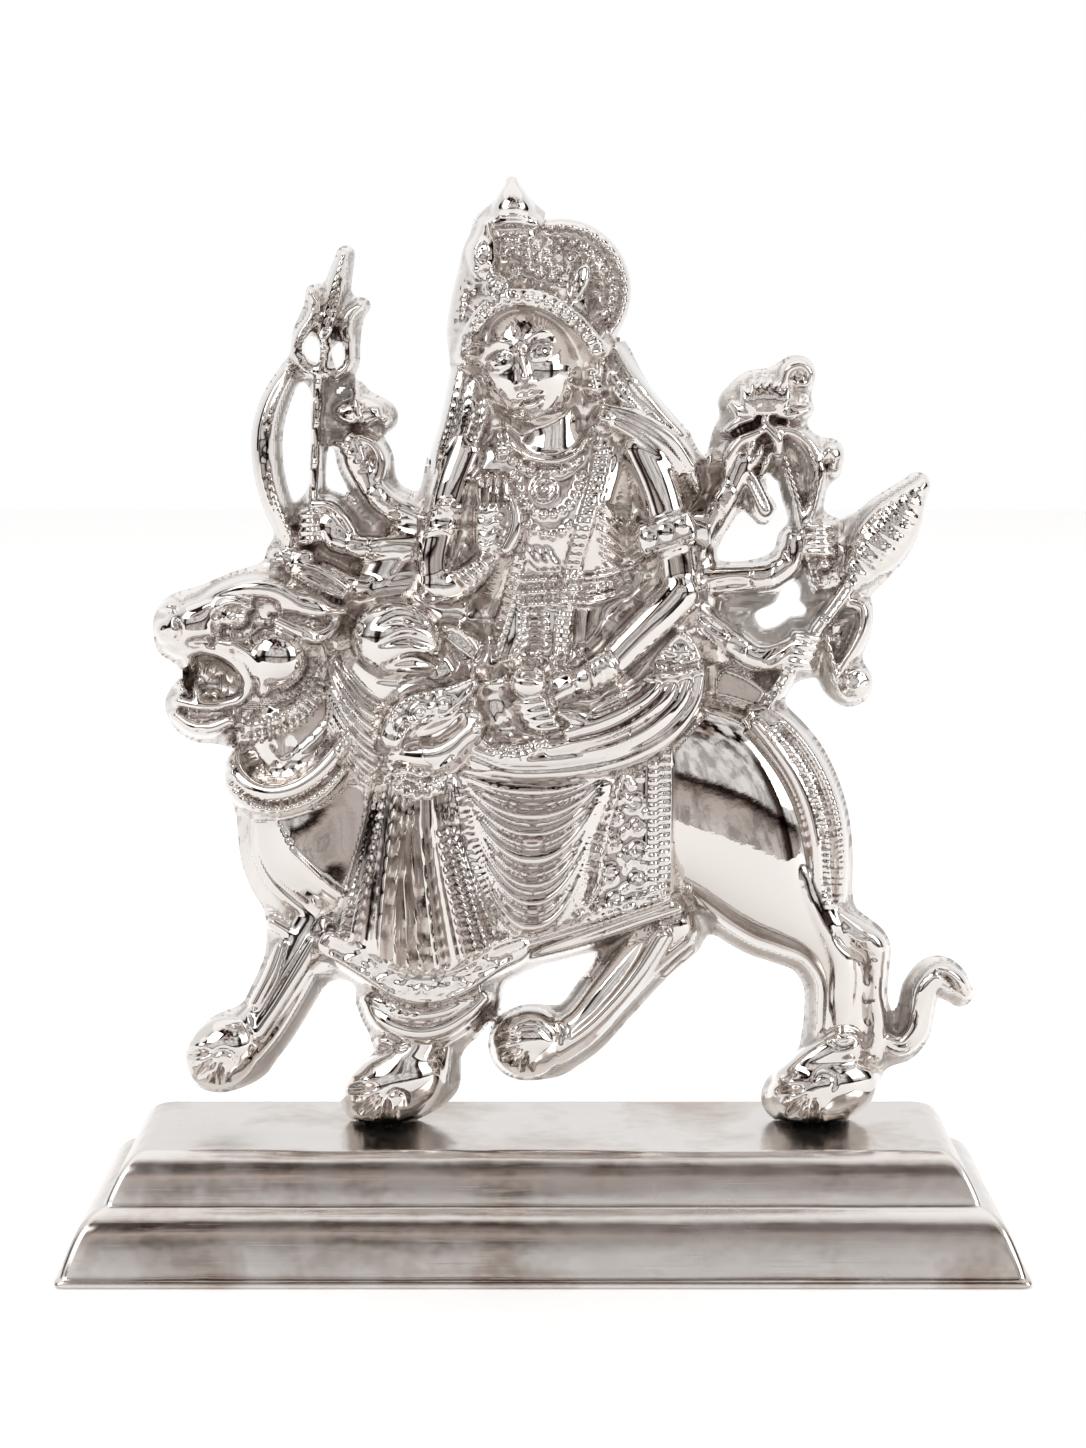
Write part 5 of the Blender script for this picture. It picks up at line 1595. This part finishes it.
# Hand: the back is one smooth form from the wrist, with the thumb over the bowl and four fingers curled
# below.
cushion([(12.6, 100.4), (8.0, 100.6), (3.4, 99.8), (0.6, 97.6), (-0.6, 94.8), (-1.2, 92.2), (0.6, 90.2),
         (3.4, 89.4), (7.6, 91.2), (11.4, 92.6), (14.6, 95.4)], 14.0, full=1.6, most=8.5, edge_round=5.0,
        fillet=0.4, flange=None)
ball((-2.4, 96.6), (4.3, 4.0), 24.0, 12, degrees=-8, fillet=0.2, flange=None)
lay([(-5.2, 98.2), (-3.2, 98.8), (-0.8, 98.4), (0.8, 97.2)], 0.9, -2.0, taper=1)
for i in range(4):
    limb([(3.4 - 0.9 * i, 87.6 + 1.75 * i, 1.0, 22.2, 14), (0.4 - 1.0 * i, 87.2 + 1.7 * i, 1.05, 22.6, 14),
          (-2.4 - 0.9 * i, 87.8 + 1.5 * i, 0.8, 21.0, 13)], fillet=0.1, flange=None)
cut_out("bowl_arm")


# Sash end: a small patterned tongue of cloth beside the waist, on the viewer's left, with a row of seed
# pearls between two cords. Cast in the skin.
slab([(-20.4, 108.6), (-17, 108.4), (-12.4, 103.6), (-13.6, 101), (-19, 105.4)], 15.4, edge_round=0.7,
     fillet=0.4)
lay([(-20, 108.4), (-17, 107.8), (-12.8, 103.2)], 0.35, 0.9)
lay([(-19.6, 106.2), (-16.6, 104), (-13.4, 101.4)], 0.35, 0.9)
beads([(-18.6, 107), (-16.4, 105.2), (-13.8, 102.8)], radius=0.55, pitch=1.3, rise=0.8)
cut_out("sash_end")


# Head: calm and full faced, tilted a little and turned slightly to the viewer's left. Brow, nose base and
# chin stand at equal thirds below the crown's band. Smooth polished skin with softly cut lids and lips.
FACE_MIDDLE = (-2.4, 162.6)
HEAD_TILT = 13


def on_face(across_face, up_face):
    """A point of the face's own plane, which tilts with the head, in the figure's plane."""
    lean = radians(HEAD_TILT)
    return (FACE_MIDDLE[0] + across_face * cos(lean) - up_face * sin(lean),
            FACE_MIDDLE[1] + across_face * sin(lean) + up_face * cos(lean))


def face_line(points, half, rise, **settings):
    """A small ridge or groove given in the face's own plane."""
    lay([(*on_face(p[0], p[1]), *p[2:]) for p in points], half, rise, **settings)


web([(-14, 178), (-14.5, 160), (-9, 148), (9, 146), (14, 156), (15, 172), (8, 184), (-8, 184)])
face_outline = [(-10.8, 9), (-11.2, 3), (-10.6, -2.6), (-8.8, -7.8), (-5.2, -11.8), (-0.6, -13.2),
                (4.4, -12.0), (8.6, -8.2), (11.0, -3.2), (11.9, 3), (11.6, 9), (0, 15)]
cushion([on_face(*point) for point in face_outline], 7.0, full=1.5, most=7.0, edge_round=5.0, fillet=1.0)
ball(on_face(0.2, 0.6), (11.2, 14.0), 23.4, 9.6, degrees=HEAD_TILT, fillet=1.6)
# Cheeks, chin, forehead and the soft hollow of the eyes.
for place, radii, rise in (
    ((-5.8, -3.6), (3.4, 3.8), 0.5), ((4.8, -3.8), (3.8, 3.8), 0.6), ((-1.4, -10.6), (2.6, 2.0), 1.3),
    ((-5.4, 1.9), (3.2, 2.2), -1.0), ((3.4, 1.9), (3.6, 2.2), -1.0),
):
    swell(on_face(*place), radii, rise, HEAD_TILT)
# Brows, from the root of the nose outward.
face_line([(-2.3, 4.6), (-5.2, 5.9), (-8.6, 4.5)], 0.75, 0.9, taper=2.5)
face_line([(0.2, 4.6), (3.6, 6.0), (7.8, 4.3)], 0.75, 0.9, taper=2.5)
# Nose: a narrow bridge widening to the tip, wings either side and a shadow under each.
face_line([(-1.0, 4.8, 0.55), (-1.2, 1.8, 0.6), (-1.4, -1.4, 0.8), (-1.5, -3.6, 1.0)], 1.7, 2.5, power=1.7,
          taper=1.2)
boss(on_face(-1.5, -3.5), (1.5, 1.3), 1.5, HEAD_TILT)
boss(on_face(-3.1, -4.0), (0.9, 0.85), 0.9, HEAD_TILT)
boss(on_face(0.2, -4.0), (0.95, 0.85), 0.9, HEAD_TILT)
boss(on_face(-2.4, -4.9), (0.55, 0.4), -0.7, HEAD_TILT)
boss(on_face(-0.7, -4.9), (0.55, 0.4), -0.7, HEAD_TILT)
# Eyes: a long almond ball, an upper lid over it, a fine lower lid, and a ring for the iris.
for place, wide in ((-5.6, 2.6), (3.2, 3.0)):
    boss(on_face(place, 1.7), (wide, 1.35), 1.3, HEAD_TILT)
    face_line([(place - wide, 1.4), (place - wide * 0.3, 3.1), (place + wide * 0.4, 3.05),
               (place + wide, 1.6)], 0.5, 1.1, taper=1.0)
    face_line([(place - wide, 2.7), (place, 4.1), (place + wide, 2.8)], 0.4, -0.6, taper=0.9)
    face_line([(place - wide * 0.9, 1.0), (place, 0.3), (place + wide * 0.9, 1.2)], 0.4, 0.8, taper=0.8)
    boss(on_face(place - 0.1, 1.75), (0.8, 0.8), 0.5)
    boss(on_face(place - 0.1, 1.75), (0.35, 0.35), -0.7)
# Mouth: closed, with a faint even line, a fuller lower lip and a shallow groove above and below.
face_line([(-5.0, -7.2), (-2.9, -6.5), (-1.5, -6.8), (-0.1, -6.5), (2.1, -7.2)], 0.65, 1.1, taper=1.4)
face_line([(-4.4, -7.7), (-1.5, -8.8), (1.5, -7.7)], 0.75, 1.3, taper=1.4)
face_line([(-5.0, -7.3), (-1.5, -7.6), (2.2, -7.3)], 0.35, -1.1, taper=1)
face_line([(-1.5, -5.4), (-1.5, -6.1)], 0.45, -0.4, taper=0.5)
face_line([(-3.4, -9.9), (-1.4, -10.2), (0.8, -9.9)], 0.6, -0.4, taper=1)
# A dot on the brow, the ear and a drop earring of three balls.
boss(on_face(-1.0, 7.0), (0.7, 0.85), 0.8)
limb([(*on_face(11.6, 4.0), 1.2, 15.5, 8), (*on_face(12.8, 1.4), 1.4, 15.8, 8),
      (*on_face(12.0, -1.4), 1.1, 15.2, 8)], fillet=0.3, flange=None)
face_line([(12.0, 3.4), (12.6, 1.4), (11.9, -0.6)], 0.45, -0.9, taper=0.6)
for spot, size in (((11.4, -2.9), 1.0), ((13.2, -3.2), 0.9), ((12.2, -5.2), 1.2)):
    ball(on_face(*spot), (size, size), 17.0, 9, fillet=0.1, flange=None)
ball(on_face(12.2, -7.9), (2.1, 2.0), 17.6, 9, fillet=0.2, flange=None)
boss(on_face(12.2, -7.9), (0.9, 0.9), 0.8)
cut_out("head")


# Crown: a tall pointed cap with a beaded brim that dips over the brow, a jewelled front leaf, three rows of
# beads round the dome, a rolled top band and a cone at the point. Bright crisp relief.
web([(-16.0, 166), (-16.0, 178), (-12.6, 189), (-10, 191.4), (0.6, 191), (10, 184), (12, 168), (0, 172),
     (-12, 165)])
cushion([(-16.4, 163.5), (-18.2, 168.5), (-18, 174), (-17.0, 179), (-15.2, 183.4), (-13.4, 187.6),
         (-12.4, 191.4), (-9.6, 192.6), (-1, 192.0), (2.6, 187.8), (7.2, 183), (10.0, 178.6), (12.2, 173.2),
         (11.6, 166.6), (6.2, 169.4), (2, 171.8), (-2, 173), (-6, 172.6), (-10, 169.6), (-13.2, 164.8)],
        9.0, full=1.3, most=12.0, edge_round=4.0, fillet=0.8, flange=0.5)
# Brim: a smooth lower edge over the brow, pearls in a channel above it and a rolled upper edge.
brim = [(-14.8, 164.4), (-13.6, 169.4), (-10.6, 173.6), (-6.6, 175.7), (-2.2, 176.0), (2.0, 174.8),
        (6.0, 172.2), (9.6, 168.8), (12.2, 165.0)]
limb([(x, v, 1.8, 22.0, 9) for x, v in brim], fillet=0.3, flange=None, power=4)
beads([(x, v + 0.1) for x, v in brim], radius=0.95, pitch=2.1, rise=1.6)
lay([(x - 0.15, v - 1.9) for x, v in brim], 0.55, 1.2)
lay([(x + 0.2, v + 2.0) for x, v in brim], 0.55, 1.2)
# Dome: three rows of pearls lying on smooth rolls, closing under the plain top band.
for low, high, middle, half in ((180.6, 178.6, 181.7, 1.15), (183.9, 181.9, 184.9, 1.1),
                                (187.0, 185.4, 187.9, 1.0)):
    left = -12.6 + (low - 178) * 0.12
    right = 9.4 - (low - 178) * 0.85
    row = [(left, low), ((left + right) / 2 - 1, middle), (right, high)]
    beads(row, radius=half, pitch=2.15 * half, rise=1.8)
lay([(-11.8, 189.2), (-6.2, 190.0), (-0.2, 188.6)], 1.2, 1.6, taper=1)
limb([(-9.8, 191.0, 1.3, 17, 7), (-5.8, 191.8, 1.4, 18.6, 7), (-1.2, 191.0, 1.3, 17, 7)], fillet=0.3,
     flange=0.6)
# Front plate: a tall pointed leaf standing at the crown's left edge, with an oval ring, over a round jewel.
limb([(-11.4, 181.6, 2.6, 21.6, 12), (-11.4, 185.0, 2.9, 21.8, 12), (-11.0, 188.0, 2.0, 20.8, 12),
      (-11.0, 190.6, 0.9, 19, 10)], fillet=0.4, flange=0.6)
lay(circle((-11.9, 185.2), 1.35, 2.3), 0.5, 1.2, closed=True)
boss((-11.9, 185.0), (0.8, 1.5), 0.9)
for x, v in ((-13.4, 181.6), (-11.8, 182.0), (-10.2, 182.6), (-14.0, 179.6), (-13.6, 177.6)):
    boss((x, v), (0.75, 0.75), 1.2)
ball((-8.7, 178.2), (2.9, 2.9), 22.4, 12, fillet=0.3, flange=None)
lay(circle((-8.7, 178.2), 2.1, 2.2), 0.55, 1.3, closed=True)
boss((-8.7, 178.2), (1.2, 1.3), 1.4)
# Bead cluster on the left and a veined leaf on the right.
for i in range(6):
    for j in range(2):
        boss((-16.4 + 1.95 * j + 0.12 * i, 166.4 + 1.95 * i + 0.8 * j), (0.98, 0.98), 1.5)
for x, v in ((-11.6, 175.2), (-13.4, 173.8), (-15.0, 177.8)):
    boss((x, v), (0.85, 0.85), 1.3)
ball((8.2, 179.2), (1.9, 3.9), 19.6, 10, degrees=-20, fillet=0.3, flange=None)
lay([(7.2, 176.4), (8.2, 179.4), (9.0, 182.6)], 0.5, -0.9, taper=1)
strokes([(7.2, 177.2), (8.2, 179.6), (8.9, 182.0)], 1.3, 2.6, 0.32, -0.6, lean=60)
# Point: a smooth cone on a rolled ring.
limb([(-5.5, 192.0, 5.0, 16, 5), (-5.6, 194.6, 3.9, 17, 5), (-5.7, 197.4, 2.3, 15, 5),
      (-5.7, 199.2, 1.0, 12, 5)], fillet=0.5, flange=0.3)
lay([(-9.4, 192.6), (-5.6, 193.2), (-1.6, 192.4)], 0.7, 1.3, taper=0.8)
cut_out("crown")


# Hidden back of the figure: the same mould's rear half, plain pillowed metal without any detail, deepest
# behind the tiger's body. It is left as cast, an even dull satin.
BACK_DEEPEST = 7.0
BACK_FULLNESS = 0.55
BACK_CLEAR = 0.6
BACK_GREY = "#b9b4b0"
BACK_ROUGHNESS = 0.42
BACK_EVERY = 3  # its mesh takes one grid point in so many each way
TUCKED_IN = 0.6  # how far its front face lies inside the other pieces

outline = drawn_in()
pillow = BACK_DEEPEST * np.tanh(BACK_FULLNESS * film(outline > BACK_CLEAR) / BACK_DEEPEST)
inside, x, v, pillow = (field[::BACK_EVERY, ::BACK_EVERY] for field in (outline, across, up, pillow))
covered = inside > BACK_CLEAR
cell = covered[:-1, :-1] & covered[1:, :-1] & covered[:-1, 1:] & covered[1:, 1:]
rows, columns = np.nonzero(cell)
first = rows * x.shape[1] + columns
quads = np.column_stack([first, first + 1, first + x.shape[1] + 1, first + x.shape[1]])
edges = np.concatenate([quads[:, [i, (i + 1) % 4]] for i in range(4)])
key = np.sort(edges, axis=1) @ np.array([x.size, 1])
_, where_first, times = np.unique(key, return_index=True, return_counts=True)
border = edges[where_first[times == 1]]
used, renamed = np.unique(quads, return_inverse=True)
renamed = renamed.reshape(quads.shape)
spot = np.full(x.size, -1)
spot[used] = np.arange(len(used))
count = len(used)
near = on_sheet(x.ravel()[used], v.ravel()[used], np.full(count, SHELL_BACK + TUCKED_IN))
far = on_sheet(x.ravel()[used], v.ravel()[used], SHELL_BACK - 0.3 - pillow.ravel()[used])
rim = np.column_stack([spot[border[:, 1]], spot[border[:, 0]], spot[border[:, 0]] + count,
                       spot[border[:, 1]] + count])
back = piece_of("figure_back", np.concatenate([near, far]), [renamed, renamed[:, ::-1] + count, rim])

as_cast = bpy.data.materials.new("satin_silver_back")
as_cast.use_nodes = True
tree = as_cast.node_tree
shader = tree.nodes["Principled BSDF"]
where = node(tree, "TexCoord").outputs["Object"]
grain = node(tree, "TexNoise", inputs={"Vector": where, "Scale": 1000 / 1.2, "Detail": 3.0, "Roughness": 0.6})
frosted = node(tree, "Bump", inputs={"Height": grain.outputs["Fac"], "Strength": 0.3, "Distance": 0.0001})
tree.links.new(frosted.outputs["Normal"], shader.inputs["Normal"])
shader.inputs["Base Color"].default_value = linear(BACK_GREY)
shader.inputs["Roughness"].default_value = BACK_ROUGHNESS
shader.inputs["Metallic"].default_value = 1.0
back.data.materials.append(as_cast)
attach(back, "root")
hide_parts("figure")


# The figure's finish: silver polished by hand to a mirror on every crown, left satin and a little stained
# beige in the hollows and on the drafted edge, where the mop doesn't reach. The eye sees a warm white metal.
FIGURE_SILVER = "#dbd6d2"
HOLLOW_TARNISH = "#d0c7c2"
SATIN_GREY = "#e6e2de"
NEAR_CELLS, NEAR_MOST = 1, 0.4
FAR_CELLS, FAR_MOST = 4, 0.6
FAR_SHARE = 0.25
BARE_FADE = 1.2  # mm above the drafted edge over which satin gives way to polish
BARE_START = 1.2  # satin's share at the edge itself, cut to 1, so that it stays full just above
MIRROR_ROUGHNESS = 0.03
STAINED_ROUGHNESS = 0.28
SATIN_ROUGHNESS = 0.46

polish = bpy.data.materials.new("polished_cast_silver")
polish.use_nodes = True
tree = polish.node_tree
shader = tree.nodes["Principled BSDF"]
where = node(tree, "TexCoord").outputs["Object"]
hollow = node(tree, "Attribute", settings={"attribute_name": "hollow"}).outputs["Fac"]
unpolished = node(tree, "Attribute", settings={"attribute_name": "unpolished"}).outputs["Fac"]
blotch = node(tree, "TexNoise",
              inputs={"Vector": where, "Scale": 1000 / 6.0, "Detail": 4.0, "Roughness": 0.6})
dulled = node(
    tree, "Math", settings={"operation": "MULTIPLY_ADD"}, inputs={0: blotch.outputs["Fac"], 1: 0.25, 2: -0.12}
)
worn = node(
    tree, "Math", settings={"operation": "ADD", "use_clamp": True}, inputs={0: hollow, 1: dulled.outputs[0]}
)
stain = node(
    tree, "ValToRGB", inputs={"Fac": worn.outputs[0]}, stops=[(0.08, FIGURE_SILVER), (0.9, HOLLOW_TARNISH)]
)
tint = node(tree, "Mix", settings={"data_type": "RGBA"})
for place, value in ((0, unpolished), (6, stain.outputs["Color"])):
    tree.links.new(value, tint.inputs[place])
tint.inputs[7].default_value = linear(SATIN_GREY)
mirror = node(
    tree, "MapRange",
    inputs={"Value": worn.outputs[0], "From Min": 0.0, "From Max": 0.8, "To Min": MIRROR_ROUGHNESS,
            "To Max": STAINED_ROUGHNESS},
)
gloss = node(
    tree, "MapRange",
    inputs={"Value": unpolished, "To Min": mirror.outputs["Result"], "To Max": SATIN_ROUGHNESS},
)
ripple = node(tree, "TexNoise",
              inputs={"Vector": where, "Scale": 1000 / 3.2, "Detail": 3.0, "Roughness": 0.5})
buffed = node(tree, "Bump", inputs={"Height": ripple.outputs["Fac"], "Strength": 0.16, "Distance": 0.0002})
for name, source in (("Base Color", tint.outputs[2]), ("Roughness", gloss.outputs["Result"]),
                     ("Normal", buffed.outputs["Normal"])):
    tree.links.new(source, shader.inputs[name])
shader.inputs["Metallic"].default_value = 1.0


def evened(field, reach):
    """A field averaged over a square of side 2 reach + 1 cells, by differences of its running sums."""
    for axis in (0, 1):
        pad = [(0, 0), (0, 0)]
        pad[axis] = (reach + 1, reach)
        total = np.cumsum(np.pad(field, pad, mode="edge"), axis=axis)
        field = (np.take(total, range(2 * reach + 1, total.shape[axis]), axis)
                 - np.take(total, range(0, total.shape[axis] - 2 * reach - 1), axis)) / (2 * reach + 1)
    return field


# A point is hollow by how far it lies below the mean of what is round it, near by and further off.
ground = np.maximum(height, RIM_OUT)
near_by = evened(evened(ground, NEAR_CELLS), NEAR_CELLS) - ground
further = evened(evened(ground, FAR_CELLS), FAR_CELLS) - ground
hollow_map = np.clip(near_by, 0, NEAR_MOST) + np.clip(further * FAR_SHARE, 0, FAR_MOST)
bare_map = np.clip(BARE_START - (height - edge_height(drawn_in())) / BARE_FADE, 0, 1)
hollow_map = np.clip(hollow_map, 0, 1) * (1 - bare_map)
for name, cells in cells_of.items():
    mesh = bpy.data.objects[name].data
    for share, values in (("hollow", hollow_map), ("unpolished", bare_map)):
        kept = mesh.attributes.new(share, "FLOAT", "POINT")
        kept.data.foreach_set("value", values.ravel()[cells].astype(np.float32))
    mesh.materials.append(polish)
